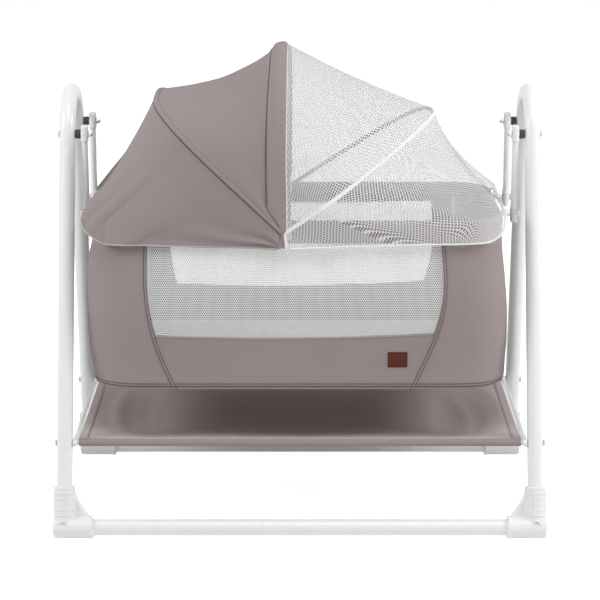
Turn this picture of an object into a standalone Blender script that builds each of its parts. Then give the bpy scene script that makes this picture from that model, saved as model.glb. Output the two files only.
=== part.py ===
"""Baby cradle: a cloth basket with a folding canopy, hung on four arms from a tube stand.

All sizes are in metres and +Z is up. The origin is on the floor under the middle of the
stand. X runs along the cradle, with the cloth half of the canopy at -X and the net half at
+X. The front is at -Y. The basket swings from front to back.
"""

import math

import bmesh
import bpy
from mathutils import Matrix, Vector
from mathutils.geometry import intersect_point_line

# Clearances and overruns shared by all pieces
CONTACT_GAP = 0.0003
CUT_OVERRUN = 0.004
MERGE_DISTANCE = 0.00001

# Stand: two bent end frames and two rails
LEG_HALF_SPACING = 0.512
LEG_TOE_IN = 0.007
LEG_END_HEIGHT = 0.010
RAIL_HALF_SPACING = 0.300
RAIL_HEIGHT = 0.023
RAIL_TO_LEG_GAP = 0.0045
FRAME_HEIGHT = 0.932
BEND_RADIUS = 0.096
TUBE_RADIUS = 0.0175
TUBE_WALL = 0.0015

# Moulded corner pieces
CORNER_SLEEVE_RADIUS = 0.0225
CORNER_RAIL_RADIUS = 0.0232
CORNER_LEG_HEIGHT = 0.115
CORNER_RAIL_REACH = 0.063
CORNER_OUTER_REACH = 0.028
CORNER_RIBS = 2
CORNER_RIB_RISE = 0.0012
CORNER_RIB_PITCH = 0.048
CORNER_RIB_WIDTH = 0.005
CORNER_LIP_WIDTH = 0.006
CORNER_LIP_RISE = 0.0014
CORNER_ROUNDING = 0.006
CORNER_WEB_THICKNESS = 0.006
CORNER_WEB_DROP = 0.012
CORNER_BOSS_RADIUS = 0.009
CORNER_BOSS_HEIGHT = 0.036
CORNER_BOSS_RISE = 0.0016
CORNER_SCREW_RADIUS = 0.0055
CORNER_SCREW_DEPTH = 0.003

# Arms, bushes and pivot bolts
UPPER_PIVOT_HEIGHT = 0.852
ARM_PIVOT_LENGTH = 0.175
ARM_THICKNESS = 0.013
ARM_WIDTH = 0.028
ARM_WALL = 0.0013
ARM_OVERHANG = 0.0155
CAP_WALL = 0.0012
CAP_ROOF = 0.003
CAP_SKIRT = 0.031
BUSH_LENGTH = 0.011
BUSH_RADIUS = 0.010
BUSH_END_RADIUS = 0.0085
PIVOT_BOLT_RADIUS = 0.004
BOLT_HEAD_RADIUS = 0.0068
BOLT_HEAD_HEIGHT = 0.0045
NUT_RADIUS = 0.0068
NUT_HEIGHT = 0.006
NUT_DOME_HEIGHT = 0.005
SHOULDER_RADIUS = 0.006
THREAD_RADIUS = 0.003
THREAD_ENTRY = 0.006

# Shelf under the basket
SHELF_HEIGHT = 0.201
SHELF_BAR_THICKNESS = 0.009
SHELF_BAR_HEIGHT = 0.016
SHELF_BAR_OVERHANG = 0.012
SHELF_ROD_RADIUS = 0.0055
SHELF_ROD_WALL = 0.0018
SHELF_BOLT_ENTRY = 0.016
SHELF_CLOTH_THICKNESS = 0.0014
SHELF_CLOTH_END_GAP = 0.004
SHELF_SAG = 0.030
SHELF_FOLD_DEPTH = 0.005
SHELF_FOLDS = 2.5

# Basket frame: a top ring, two hoops under it and a base board
RING_RADIUS = 0.008
RING_WALL = 0.0015
RING_TO_ARM_GAP = 0.0225
RING_HALF_WIDTH = 0.230
RING_CORNER_RADIUS = 0.075
HOOP_RADIUS = 0.006
HOOP_WALL = 0.0012
HOOP_END_MARGIN = 0.085
HOOP_BEND_RADIUS = 0.030
BOARD_THICKNESS = 0.004
BOARD_END_MARGIN = 0.012
BOARD_CORNER_RADIUS = 0.060

# Basket cloth
CLOTH_THICKNESS = 0.0018
CLOTH_GAP = 0.0006
BASKET_DEPTH = 0.365
BASKET_EDGE_RADIUS = 0.025
BASKET_BULGE = 0.012
BULGE_HEIGHT_SHARE = 0.51
BASKET_BOTTOM_OFFSET = 0.015
RIM_FLAP_DEPTH = 0.020
WINDOW_DROP = 0.037
WINDOW_HEIGHT = 0.208
WINDOW_LEFT_MARGIN = 0.105
WINDOW_RIGHT_MARGIN = 0.118
WINDOW_TAPER = 0.014
NET_THICKNESS = 0.0009

# Mattress
MATTRESS_THICKNESS = 0.030
MATTRESS_CROWN = 0.008
MATTRESS_SIDE_MARGIN = 0.007
MATTRESS_END_MARGIN = 0.006
MATTRESS_EDGE_RADIUS = 0.010
MATTRESS_PINCH = 0.003
MATTRESS_CORNER_RADIUS = 0.070

# Label patch, left bare
LABEL_MARGIN = 0.1985
LABEL_WIDTH = 0.0425
LABEL_RISE = 0.056
LABEL_HEIGHT = 0.034
LABEL_THICKNESS = 0.0015

# Canopy brackets, hooked over the rim at the middle of both long sides
HUB_PLACE = -0.035
HUB_BELOW_RING = 0.012
HUB_PLATE_THICKNESS = 0.004
HUB_HALF_WIDTH = 0.016
HUB_DROP = 0.016
HUB_HOOK_DEPTH = 0.015
HUB_PIN_RADIUS = 0.004
HUB_HEAD_RADIUS = 0.007
HUB_HEAD_THICKNESS = 0.002

# Canopy bows: lean from upright in degrees, height above the pin, and how boxy each half
# is. A fullness of 1 is a straight side, 2 an ellipse and 4 nearly square. The stretched
# net pulls the front half of the right bow almost straight.
BOW_RADIUS = 0.0025
BOW_EYE_RADIUS = 0.008
BOW_EYE_THICKNESS = 0.005
BOW_LEG = 0.090
BOW_RIM_CLEARANCE = 0.0216
BOW_LEAN = {"left": -45.6, "middle": 0.0, "right": 55.6}
BOW_HEIGHT = {"left": 0.386, "middle": 0.372, "right": 0.390}
BOW_FULLNESS_SHARES = {"left": (3.6, 3.6), "middle": (2.8, 2.8), "right": (1.35, 3.0)}

# Canopy cloth and net
COVER_THICKNESS = 0.0012
COVER_GAP = 0.0012
COVER_SPLIT = 0.0006
COVER_RIM_CLEARANCE = 0.009
FAN_WIDTH = 0.012
COVER_SAG = {"left_end": 0.005, "left": 0.026, "right": 0.012, "right_end": 0.018}
HEM_BELOW_RING = 0.043
HEM_NOTCH_ABOVE_RING = 0.014
HEM_STANDOFF = 0.012
HEM_CORNER_BULGE = 0.014
HEM_HUB_BULGE = 0.015
HEM_HUB_REACH = 0.070
HEM_NOTCH_MARGIN = 0.023
HEM_NOTCH_BLEND = 0.060

# Finishes: colour, roughness and metallic value
FINISHES = {
    "white_steel": ((0.86, 0.86, 0.85), 0.32, 0.0),
    "white_plastic": ((0.84, 0.84, 0.83), 0.42, 0.0),
    "zinc": ((0.62, 0.62, 0.63), 0.35, 1.0),
    "black_plastic": ((0.03, 0.03, 0.035), 0.5, 0.0),
    "grey_steel": ((0.45, 0.45, 0.46), 0.4, 1.0),
    "taupe_cloth": ((0.31, 0.26, 0.25), 0.9, 0.0),
    "shelf_cloth": ((0.28, 0.24, 0.23), 0.9, 0.0),
    "white_net": ((0.82, 0.82, 0.82), 0.85, 0.0),
    "mattress_cloth": ((0.80, 0.79, 0.77), 0.9, 0.0),
    "board": ((0.45, 0.33, 0.22), 0.8, 0.0),
    "tan_patch": ((0.28, 0.12, 0.07), 0.6, 0.0),
}

# Sides that the ends and edges are counted on
FRONT, REAR = -1, 1
LEFT, RIGHT = -1, 1
SIDE_NAMES = {(FRONT, LEFT): "front_left", (FRONT, RIGHT): "front_right"}
SIDE_NAMES.update({(REAR, LEFT): "rear_left", (REAR, RIGHT): "rear_right"})

# Facets
BEND_STEPS = 8
CORNER_STEPS = 5
HOLE_SIDES = 8
SLEEVE_SIDES = 14
BOLT_SIDES = 10
EYE_SIDES = 12
TURN_WEIGHT = 0.25
ARCH_STEPS = 11
LEG_STEPS = 3
COVER_COLUMNS = 4


def leg_slope():
    """Angle from upright at which a leg runs tangent from its rail to the top bend."""
    rise = FRAME_HEIGHT - BEND_RADIUS - RAIL_HEIGHT
    reach = math.hypot(RAIL_HALF_SPACING, rise)
    return math.atan2(RAIL_HALF_SPACING, rise) - math.asin(BEND_RADIUS / reach)


def leg_y(height):
    """Distance of a leg's centre line from the middle plane at a height."""
    return RAIL_HALF_SPACING - (height - RAIL_HEIGHT) * math.tan(leg_slope())


def leg_x(height):
    """Distance of an end frame's centre line from the middle at a height."""
    share = (height - RAIL_HEIGHT) / (FRAME_HEIGHT - RAIL_HEIGHT)
    return LEG_HALF_SPACING - LEG_TOE_IN * share


# Places that several pieces share
RING_HEIGHT = UPPER_PIVOT_HEIGHT - ARM_PIVOT_LENGTH
PIVOT_Y = leg_y(UPPER_PIVOT_HEIGHT)
LEG_INNER_X = leg_x(UPPER_PIVOT_HEIGHT) - TUBE_RADIUS
CAP_HALF_THICKNESS = ARM_THICKNESS / 2 + CONTACT_GAP + CAP_WALL
ARM_X = LEG_INNER_X - 2 * CONTACT_GAP - BUSH_LENGTH - CAP_HALF_THICKNESS
CAP_INNER_X = ARM_X - CAP_HALF_THICKNESS
CAP_OUTER_X = ARM_X + CAP_HALF_THICKNESS
RING_HALF_LENGTH = CAP_INNER_X - RING_TO_ARM_GAP - RING_RADIUS
HOOP_PLACE = RING_HALF_LENGTH - HOOP_END_MARGIN
RAIL_END_X = LEG_HALF_SPACING - TUBE_RADIUS - RAIL_TO_LEG_GAP
SHELF_Y = leg_y(SHELF_HEIGHT)
SHELF_LEG_X = leg_x(SHELF_HEIGHT)
SHELF_BAR_OUTER_X = SHELF_LEG_X - TUBE_RADIUS - CONTACT_GAP
SHELF_BAR_INNER_X = SHELF_BAR_OUTER_X - SHELF_BAR_THICKNESS
SHELF_ROD_X = SHELF_BAR_INNER_X - CONTACT_GAP
RIM_OFFSET = RING_RADIUS + CLOTH_GAP + CLOTH_THICKNESS
BASKET_BOTTOM = RING_HEIGHT - BASKET_DEPTH
HOOP_BASE = BASKET_BOTTOM + CLOTH_THICKNESS + CONTACT_GAP + HOOP_RADIUS
BOARD_BASE = HOOP_BASE + HOOP_RADIUS + CONTACT_GAP
MATTRESS_BASE = BOARD_BASE + BOARD_THICKNESS + CONTACT_GAP

WINDOW_TOP = RING_HEIGHT - WINDOW_DROP
WINDOW_BOTTOM = WINDOW_TOP - WINDOW_HEIGHT
WINDOW_LEFT = WINDOW_LEFT_MARGIN - RING_HALF_LENGTH
WINDOW_RIGHT = RING_HALF_LENGTH - WINDOW_RIGHT_MARGIN
LABEL_RIGHT = RING_HALF_LENGTH - LABEL_MARGIN
LABEL_BOTTOM = BASKET_BOTTOM + LABEL_RISE


def bulged_offset(height):
    full = RIM_OFFSET + BASKET_BULGE
    widest = WALL_FOOT + (RING_HEIGHT - WALL_FOOT) * BULGE_HEIGHT_SHARE
    if height > widest:
        share = (height - widest) / (RING_HEIGHT - widest)
        edge = RIM_OFFSET
    else:
        share = (widest - height) / (widest - WALL_FOOT)
        edge = BASKET_BOTTOM_OFFSET
    return edge + (full - edge) * (1 - min(share, 1) ** 2) ** 2


# Heights at which the basket's walls bend, from the ring down, and how far out they lie
WALL_FOOT = BASKET_BOTTOM + BASKET_EDGE_RADIUS
WALL_SHARES = (0, 0.16, 0.33, 0.49, 0.70, 1)
WALL_LEVELS = [RING_HEIGHT - (RING_HEIGHT - WALL_FOOT) * share for share in WALL_SHARES]
WALL_OFFSETS = [bulged_offset(height) for height in WALL_LEVELS]


def wall_offset(height):
    """How far the basket's outer face lies outside the ring's centre line at a height."""
    for k, (high, low) in enumerate(zip(WALL_LEVELS, WALL_LEVELS[1:])):
        if height >= low:
            share = min((high - height) / (high - low), 1)
            return WALL_OFFSETS[k] + (WALL_OFFSETS[k + 1] - WALL_OFFSETS[k]) * max(share, 0)
    return WALL_OFFSETS[-1]


HUB_HEIGHT = RING_HEIGHT - HUB_BELOW_RING
HUB_PLATE_Y = RING_HALF_WIDTH + wall_offset(HUB_HEIGHT - HUB_DROP) + CONTACT_GAP
HUB_FACE_Y = HUB_PLATE_Y + HUB_PLATE_THICKNESS
BOW_PITCH = BOW_EYE_THICKNESS + CONTACT_GAP
BOW_FOOT_Y = {
    name: HUB_FACE_Y + CONTACT_GAP + BOW_EYE_THICKNESS / 2 + order * BOW_PITCH
    for order, name in enumerate(("left", "middle", "right"))
}
HUB_HEAD_Y = HUB_FACE_Y + CONTACT_GAP + len(BOW_FOOT_Y) * BOW_PITCH
BOW_SPREAD = RING_HALF_WIDTH + RIM_OFFSET + BOW_RIM_CLEARANCE
FAN_Y = RING_HALF_WIDTH + RIM_OFFSET + HEM_STANDOFF + HEM_HUB_BULGE
HEM_LOW = RING_HEIGHT - HEM_BELOW_RING
HEM_HIGH = RING_HEIGHT + HEM_NOTCH_ABOVE_RING
HEM_NOTCH_HALF_WIDTH = PIVOT_Y + HEM_NOTCH_MARGIN


# General helpers


def clear_scene():
    for thing in list(bpy.data.objects):
        bpy.data.objects.remove(thing, do_unlink=True)


def link(name, data):
    thing = bpy.data.objects.new(name, data)
    bpy.context.scene.collection.objects.link(thing)
    return thing


def mesh_thing(name, shape):
    """Object from a finished bmesh, with doubled points merged and faces turned out."""
    bmesh.ops.remove_doubles(shape, verts=shape.verts[:], dist=MERGE_DISTANCE)
    bmesh.ops.recalc_face_normals(shape, faces=shape.faces[:])
    mesh = bpy.data.meshes.new(name)
    shape.to_mesh(mesh)
    shape.free()
    return link(name, mesh)


def settle(thing):
    """Replaces an object's mesh by what its modifiers make of it."""
    bpy.context.view_layer.update()
    graph = bpy.context.evaluated_depsgraph_get()
    mesh = bpy.data.meshes.new_from_object(thing.evaluated_get(graph))
    thing.modifiers.clear()
    thing.data = mesh
    return thing


def combine(target, tools, operation):
    """Cuts the tools from the target, or joins them to it, and removes them."""
    for tool in tools:
        modifier = target.modifiers.new(tool.name, "BOOLEAN")
        modifier.operation = operation
        modifier.solver = "EXACT"
        modifier.object = tool
    settle(target)
    for tool in tools:
        bpy.data.objects.remove(tool, do_unlink=True)
    shape = bmesh.new()
    shape.from_mesh(target.data)
    bmesh.ops.remove_doubles(shape, verts=shape.verts[:], dist=MERGE_DISTANCE)
    bmesh.ops.dissolve_degenerate(shape, edges=shape.edges[:], dist=MERGE_DISTANCE)
    shape.to_mesh(target.data)
    shape.free()
    return target


def thicken(thing, thickness, side):
    """Gives an open surface a wall, outwards for side 1 and inwards for side -1."""
    modifier = thing.modifiers.new("wall", "SOLIDIFY")
    modifier.thickness = thickness
    modifier.offset = side
    modifier.use_even_offset = True
    return settle(thing)


def turned(name, profile, sides, ring=False):
    """Body turned about X from (radius, along) points; ring says that it has a bore."""
    shape = bmesh.new()
    points = [shape.verts.new((along, radius, 0)) for radius, along in profile]
    edges = [shape.edges.new(pair) for pair in zip(points, points[1:])]
    if ring:
        edges.append(shape.edges.new((points[-1], points[0])))
    bmesh.ops.spin(
        shape,
        geom=points + edges,
        cent=(0, 0, 0),
        axis=(1, 0, 0),
        angle=math.tau,
        steps=sides,
        use_merge=True,
    )
    return mesh_thing(name, shape)


def cylinder(name, radius, start, end, sides):
    """Solid cylinder between two points."""
    start, end = Vector(start), Vector(end)
    length = (end - start).length
    thing = turned(name, [(0, 0), (radius, 0), (radius, length), (0, length)], sides)
    thing.matrix_world = along_line(start, end)
    return thing


def drill(radius, start, end, sides=HOLE_SIDES):
    """Cutter for a hole that clears a round piece of this radius on all its facets."""
    reach = (radius + CONTACT_GAP) / math.cos(math.pi / sides)
    return cylinder("hole", reach, start, end, sides)


def along_line(start, end):
    """Matrix that lays +X along the line from start to end, from start."""
    direction = (Vector(end) - Vector(start)).normalized()
    turn = Vector((1, 0, 0)).rotation_difference(direction)
    return Matrix.Translation(start) @ turn.to_matrix().to_4x4()


def lofted(name, loops, capped=True):
    """Body or open surface through closed loops that have the same number of points."""
    shape = bmesh.new()
    rows = [[shape.verts.new(point) for point in loop] for loop in loops]
    count = len(rows[0])
    for low, high in zip(rows, rows[1:]):
        for i in range(count):
            k = (i + 1) % count
            shape.faces.new((low[i], low[k], high[k], high[i]))
    if capped:
        shape.faces.new(rows[0])
        shape.faces.new(rows[-1])
    return mesh_thing(name, shape)


def surface(name, grid, outward):
    """Open surface through a grid of points, facing the given direction on the whole."""
    shape = bmesh.new()
    rows = [[shape.verts.new(point) for point in row] for row in grid]
    for low, high in zip(rows, rows[1:]):
        for i in range(len(low) - 1):
            shape.faces.new((low[i], low[i + 1], high[i + 1], high[i]))
    bmesh.ops.remove_doubles(shape, verts=shape.verts[:], dist=MERGE_DISTANCE)
    bmesh.ops.recalc_face_normals(shape, faces=shape.faces[:])
    shape.normal_update()
    facing = sum((face.normal * face.calc_area() for face in shape.faces), Vector())
    if facing.dot(Vector(outward)) < 0:
        bmesh.ops.reverse_faces(shape, faces=shape.faces[:])
    mesh = bpy.data.meshes.new(name)
    shape.to_mesh(mesh)
    shape.free()
    return link(name, mesh)


def tube(name, route, radius, resolution, wall=None, closed=False):
    """Round tube along a route; with a wall it is hollow and its ends stay open."""
    curve = bpy.data.curves.new(name, "CURVE")
    curve.dimensions = "3D"
    curve.bevel_depth = radius
    curve.bevel_resolution = resolution
    curve.use_fill_caps = wall is None
    spline = curve.splines.new("POLY")
    spline.points.add(len(route) - 1)
    for point, place in zip(spline.points, route):
        point.co = (*place, 1)
    spline.use_cyclic_u = closed
    path = link(name + "_route", curve)
    bpy.context.view_layer.update()
    graph = bpy.context.evaluated_depsgraph_get()
    shape = bmesh.new()
    shape.from_mesh(bpy.data.meshes.new_from_object(path.evaluated_get(graph)))
    bpy.data.objects.remove(path, do_unlink=True)
    thing = mesh_thing(name, shape)
    if wall is not None:
        thicken(thing, wall, -1)
    return thing


def arc(centre, radius, start, end, steps):
    """Points on an arc in a plane, from one angle to another in radians."""
    turns = [start + (end - start) * i / steps for i in range(steps + 1)]
    return [(centre[0] + radius * math.cos(a), centre[1] + radius * math.sin(a)) for a in turns]


def rounded_outline(half_length, half_width, radius, steps=CORNER_STEPS):
    """Closed rounded rectangle, counter-clockwise from the right end."""
    corners = ((1, 1, 0), (-1, 1, 1), (-1, -1, 2), (1, -1, 3))
    points = []
    for side, end, quarter in corners:
        centre = (side * (half_length - radius), end * (half_width - radius))
        start = quarter * math.pi / 2
        points += arc(centre, radius, start, start + math.pi / 2, steps)
    return points


def prism(name, outline, start, end, axis):
    """Outline of two coordinates pulled along the third, which axis names."""
    order = {"X": (2, 0, 1), "Y": (0, 2, 1), "Z": (0, 1, 2)}[axis]
    loops = []
    for depth in (start, end):
        points = [(u, v, depth) for u, v in outline]
        loops.append([tuple(point[i] for i in order) for point in points])
    return lofted(name, loops)


def smooth_step(share):
    share = min(max(share, 0.0), 1.0)
    return share * share * (3 - 2 * share)


def spaced(points, count):
    """The same line through count points, set closer together where it turns."""
    points = [Vector(point) for point in points]
    lengths = [0.0]
    for k, (a, b) in enumerate(zip(points, points[1:])):
        turn = (b - a).angle(points[k + 2] - b) if k < len(points) - 2 else 0
        lengths.append(lengths[-1] + (b - a).length + turn * TURN_WEIGHT)
    result, k = [], 0
    for i in range(count):
        aim = lengths[-1] * i / (count - 1)
        while k < len(points) - 2 and lengths[k + 1] < aim:
            k += 1
        span = lengths[k + 1] - lengths[k]
        result.append(points[k].lerp(points[k + 1], (aim - lengths[k]) / span))
    return result


def parent_to(thing, holder):
    thing.parent = holder
    thing.matrix_parent_inverse = holder.matrix_world.inverted()


def finished(thing, finish, holder, smooth_angle=40):
    """Names the node's own material, shades it and hangs it on what carries it."""
    colour, roughness, metallic = FINISHES[finish]
    material = bpy.data.materials.new(thing.name + "_finish")
    material.use_nodes = True
    shader = material.node_tree.nodes["Principled BSDF"]
    shader.inputs["Base Color"].default_value = (*colour, 1)
    shader.inputs["Roughness"].default_value = roughness
    shader.inputs["Metallic"].default_value = metallic
    thing.data.materials.clear()
    thing.data.materials.append(material)
    thing.data.shade_smooth()
    thing.data.set_sharp_from_angle(angle=math.radians(smooth_angle))
    parent_to(thing, holder)
    return thing


def copy_of(master, name):
    return link(name, master.data.copy())


def joint_empty(name, place, holder=None):
    empty = link(name, None)
    empty.location = place
    bpy.context.view_layer.update()
    if holder is not None:
        parent_to(empty, holder)
        bpy.context.view_layer.update()
    return empty


# Stand


def end_frame(name, side, stand):
    """Bent tube with two legs, leaning in a little, with its bolt holes."""
    slope = leg_slope()
    centre = (0, FRAME_HEIGHT - BEND_RADIUS)
    bend = arc(centre, BEND_RADIUS, math.pi - slope, slope, BEND_STEPS)
    foot = leg_y(LEG_END_HEIGHT)
    flat = [(-foot, LEG_END_HEIGHT), *bend, (foot, LEG_END_HEIGHT)]
    route = [(side * leg_x(z), y, z) for y, z in flat]
    frame = tube(name, route, TUBE_RADIUS, 5, wall=TUBE_WALL)
    holes = []
    for edge in (FRONT, REAR):
        for height, radius in (
            (UPPER_PIVOT_HEIGHT, PIVOT_BOLT_RADIUS),
            (SHELF_HEIGHT, THREAD_RADIUS),
        ):
            reach = TUBE_RADIUS + CUT_OVERRUN
            x, y = side * leg_x(height), edge * leg_y(height)
            start, end = (x - reach, y, height), (x + reach, y, height)
            holes.append(drill(radius, start, end))
    combine(frame, holes, "DIFFERENCE")
    return finished(frame, "white_steel", stand)


def rail(name, edge, stand):
    y = edge * RAIL_HALF_SPACING
    route = [(-RAIL_END_X, y, RAIL_HEIGHT), (RAIL_END_X, y, RAIL_HEIGHT)]
    return finished(tube(name, route, TUBE_RADIUS, 5, wall=TUBE_WALL), "white_steel", stand)


def corner_piece(edge, side, stand):
    """Moulded elbow: a ribbed leg sleeve, a rail sleeve with a lip, a web and a screw boss."""
    name = SIDE_NAMES[(edge, side)] + "_corner"

    def leg_point(height):
        return Vector((side * leg_x(height), edge * leg_y(height), height))

    foot, top = leg_point(-CORNER_ROUNDING), leg_point(CORNER_LEG_HEIGHT)
    length = (top - foot).length
    radius, ribbed = CORNER_SLEEVE_RADIUS, CORNER_SLEEVE_RADIUS + CORNER_RIB_RISE
    profile = [(0, 0), (radius, 0)]
    for i in range(CORNER_RIBS):
        high = length - (CORNER_RIBS - 1 - i) * CORNER_RIB_PITCH
        low = high - CORNER_RIB_WIDTH
        profile += [(radius, low), (ribbed, low + CORNER_RIB_RISE), (ribbed, high)]
        if i < CORNER_RIBS - 1:
            profile.append((radius, high + CORNER_RIB_RISE))
    profile.append((0, length))
    sleeve = turned(name, profile, SLEEVE_SIDES)
    sleeve.matrix_world = along_line(foot, top)

    outer = LEG_HALF_SPACING + CORNER_OUTER_REACH
    inner = LEG_HALF_SPACING - CORNER_RAIL_REACH
    y = edge * RAIL_HALF_SPACING
    r, lip = CORNER_RAIL_RADIUS, CORNER_RAIL_RADIUS + CORNER_LIP_RISE
    rail_profile = [(0, 0), (lip, 0), (lip, CORNER_LIP_WIDTH)]
    rail_profile.append((r, CORNER_LIP_WIDTH + CORNER_LIP_RISE))
    rail_profile += [
        (r - CORNER_ROUNDING + a, outer - inner - CORNER_ROUNDING + b)
        for a, b in arc((0, 0), CORNER_ROUNDING, 0, math.pi / 2, 2)
    ]
    rail_profile.append((0, outer - inner))
    rail_sleeve = turned("rail_sleeve", rail_profile, SLEEVE_SIDES)
    rail_sleeve.matrix_world = along_line(
        (side * inner, y, RAIL_HEIGHT), (side * outer, y, RAIL_HEIGHT)
    )

    web_top = CORNER_LEG_HEIGHT - CORNER_WEB_DROP
    web_centre = (inner + CORNER_LIP_WIDTH, web_top)
    across = LEG_HALF_SPACING - CORNER_SLEEVE_RADIUS / 2 - web_centre[0]
    down = web_top - RAIL_HEIGHT - CORNER_RAIL_RADIUS / 2
    curve = [
        (web_centre[0] + across * math.sin(a), web_centre[1] - down * math.cos(a))
        for a in [math.pi / 2 * i / 5 for i in range(6)]
    ]
    outline = [(LEG_HALF_SPACING, RAIL_HEIGHT), *curve, (LEG_HALF_SPACING, web_top)]
    outline = [(side * x, z) for x, z in outline]
    half = CORNER_WEB_THICKNESS / 2
    web = prism("web", outline, -half, half, "Y")
    for vertex in web.data.vertices:
        vertex.co.y += edge * leg_y(vertex.co.z)

    boss_x = side * leg_x(CORNER_BOSS_HEIGHT)
    boss_y = leg_y(CORNER_BOSS_HEIGHT) + CORNER_SLEEVE_RADIUS + CORNER_BOSS_RISE
    boss = cylinder(
        "boss",
        CORNER_BOSS_RADIUS,
        (boss_x, edge * leg_y(CORNER_BOSS_HEIGHT), CORNER_BOSS_HEIGHT),
        (boss_x, edge * boss_y, CORNER_BOSS_HEIGHT),
        EYE_SIDES,
    )
    combine(sleeve, [rail_sleeve, web, boss], "UNION")

    base = leg_point(LEG_END_HEIGHT)
    up = (top - foot).normalized()
    leg_bore = drill(
        TUBE_RADIUS, base - up * CONTACT_GAP, top + up * CUT_OVERRUN, SLEEVE_SIDES
    )
    rail_bore = drill(
        TUBE_RADIUS,
        (side * (RAIL_END_X + CONTACT_GAP), y, RAIL_HEIGHT),
        (side * (inner - CUT_OVERRUN), y, RAIL_HEIGHT),
        SLEEVE_SIDES,
    )
    screw = cylinder(
        "screw_recess",
        CORNER_SCREW_RADIUS,
        (boss_x, edge * (boss_y - CORNER_SCREW_DEPTH), CORNER_BOSS_HEIGHT),
        (boss_x, edge * (boss_y + CUT_OVERRUN), CORNER_BOSS_HEIGHT),
        HOLE_SIDES,
    )
    reach = RAIL_HALF_SPACING
    below = [(-reach, -reach), (reach, -reach), (reach, reach), (-reach, reach)]
    below = [(side * LEG_HALF_SPACING + x, y + v) for x, v in below]
    floor = prism("floor", below, -RAIL_HALF_SPACING, 0, "Z")
    combine(sleeve, [leg_bore, rail_bore, screw, floor], "DIFFERENCE")
    return finished(sleeve, "white_plastic", stand, 30)


# Arms and their fasteners


def arm_outline(grown):
    """Flat oval section of an arm, grown by a distance."""
    half_thickness, half_width = ARM_THICKNESS / 2 + grown, ARM_WIDTH / 2 + grown
    return rounded_outline(half_thickness, half_width, half_thickness - CONTACT_GAP, 3)


def cross_bolt_hole(x, y, z):
    reach = CAP_HALF_THICKNESS + CUT_OVERRUN
    return drill(PIVOT_BOLT_RADIUS, (x - reach, y, z), (x + reach, y, z))


def arm(edge, side, holder):
    """One hanger arm: a flat oval tube and the moulded cap on each of its ends."""
    name = SIDE_NAMES[(edge, side)]
    x, y = side * ARM_X, edge * PIVOT_Y
    low, high = RING_HEIGHT - ARM_OVERHANG, UPPER_PIVOT_HEIGHT + ARM_OVERHANG

    def placed(grown):
        return [(x + u, y + v) for u, v in arm_outline(grown)]

    bar = prism(name + "_arm", placed(0), low, high, "Z")
    hollow = prism("hollow", placed(-ARM_WALL), low - CUT_OVERRUN, high + CUT_OVERRUN, "Z")
    holes = [cross_bolt_hole(x, y, z) for z in (RING_HEIGHT, UPPER_PIVOT_HEIGHT)]
    combine(bar, [hollow, *holes], "DIFFERENCE")
    finished(bar, "white_steel", holder)

    for word, end, way in (("upper", high, 1), ("lower", low, -1)):
        pivot = end - way * ARM_OVERHANG
        roof = end + way * (CONTACT_GAP + CAP_ROOF)
        skirt = end + way * CONTACT_GAP - way * CAP_SKIRT
        edge_line = roof - way * CAP_ROOF / 2
        wide = CONTACT_GAP + CAP_WALL
        levels = [(skirt, wide), (edge_line, wide), (roof, wide - CAP_ROOF / 2)]
        loops = [[(u, v, z) for u, v in placed(grown)] for z, grown in levels]
        cap = lofted(f"{name}_{word}_cap", loops)
        socket_end = end + way * CONTACT_GAP
        socket = prism(
            "socket", placed(CONTACT_GAP), skirt - way * CUT_OVERRUN, socket_end, "Z"
        )
        combine(cap, [socket, cross_bolt_hole(x, y, pivot)], "DIFFERENCE")
        finished(cap, "white_plastic", holder)


def upper_bolt_profile():
    """Head outside the leg, shank through leg, bush and arm, and a dome nut inside."""
    head = leg_x(UPPER_PIVOT_HEIGHT) + TUBE_RADIUS + CONTACT_GAP
    nut = CAP_INNER_X - CONTACT_GAP
    end = nut - NUT_HEIGHT
    dome = [
        (NUT_RADIUS * 0.8 * math.cos(a), end - NUT_DOME_HEIGHT * math.sin(a))
        for a in [math.pi / 2 * i / 3 for i in range(4)]
    ]
    profile = [(0, head + BOLT_HEAD_HEIGHT), (BOLT_HEAD_RADIUS * 0.8, head + BOLT_HEAD_HEIGHT)]
    profile += [(BOLT_HEAD_RADIUS, head + BOLT_HEAD_HEIGHT * 0.6), (BOLT_HEAD_RADIUS, head)]
    profile += [(PIVOT_BOLT_RADIUS, head), (PIVOT_BOLT_RADIUS, nut)]
    profile += [(NUT_RADIUS, nut), (NUT_RADIUS, end), *dome[:-1], (0, dome[-1][1])]
    return profile


def lower_bolt_profile():
    """Head outside the arm, shank through it, and a shoulder that stands on the ring."""
    head = CAP_OUTER_X + CONTACT_GAP
    shoulder = CAP_INNER_X - CONTACT_GAP
    seat = RING_HALF_LENGTH + RING_RADIUS + CONTACT_GAP
    tip = seat - THREAD_ENTRY
    return [
        (0, head + BOLT_HEAD_HEIGHT),
        (BOLT_HEAD_RADIUS * 0.8, head + BOLT_HEAD_HEIGHT),
        (BOLT_HEAD_RADIUS, head + BOLT_HEAD_HEIGHT * 0.6),
        (BOLT_HEAD_RADIUS, head),
        (PIVOT_BOLT_RADIUS, head),
        (PIVOT_BOLT_RADIUS, shoulder),
        (SHOULDER_RADIUS, shoulder),
        (SHOULDER_RADIUS, seat),
        (THREAD_RADIUS, seat),
        (THREAD_RADIUS, tip),
        (0, tip),
    ]


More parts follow.
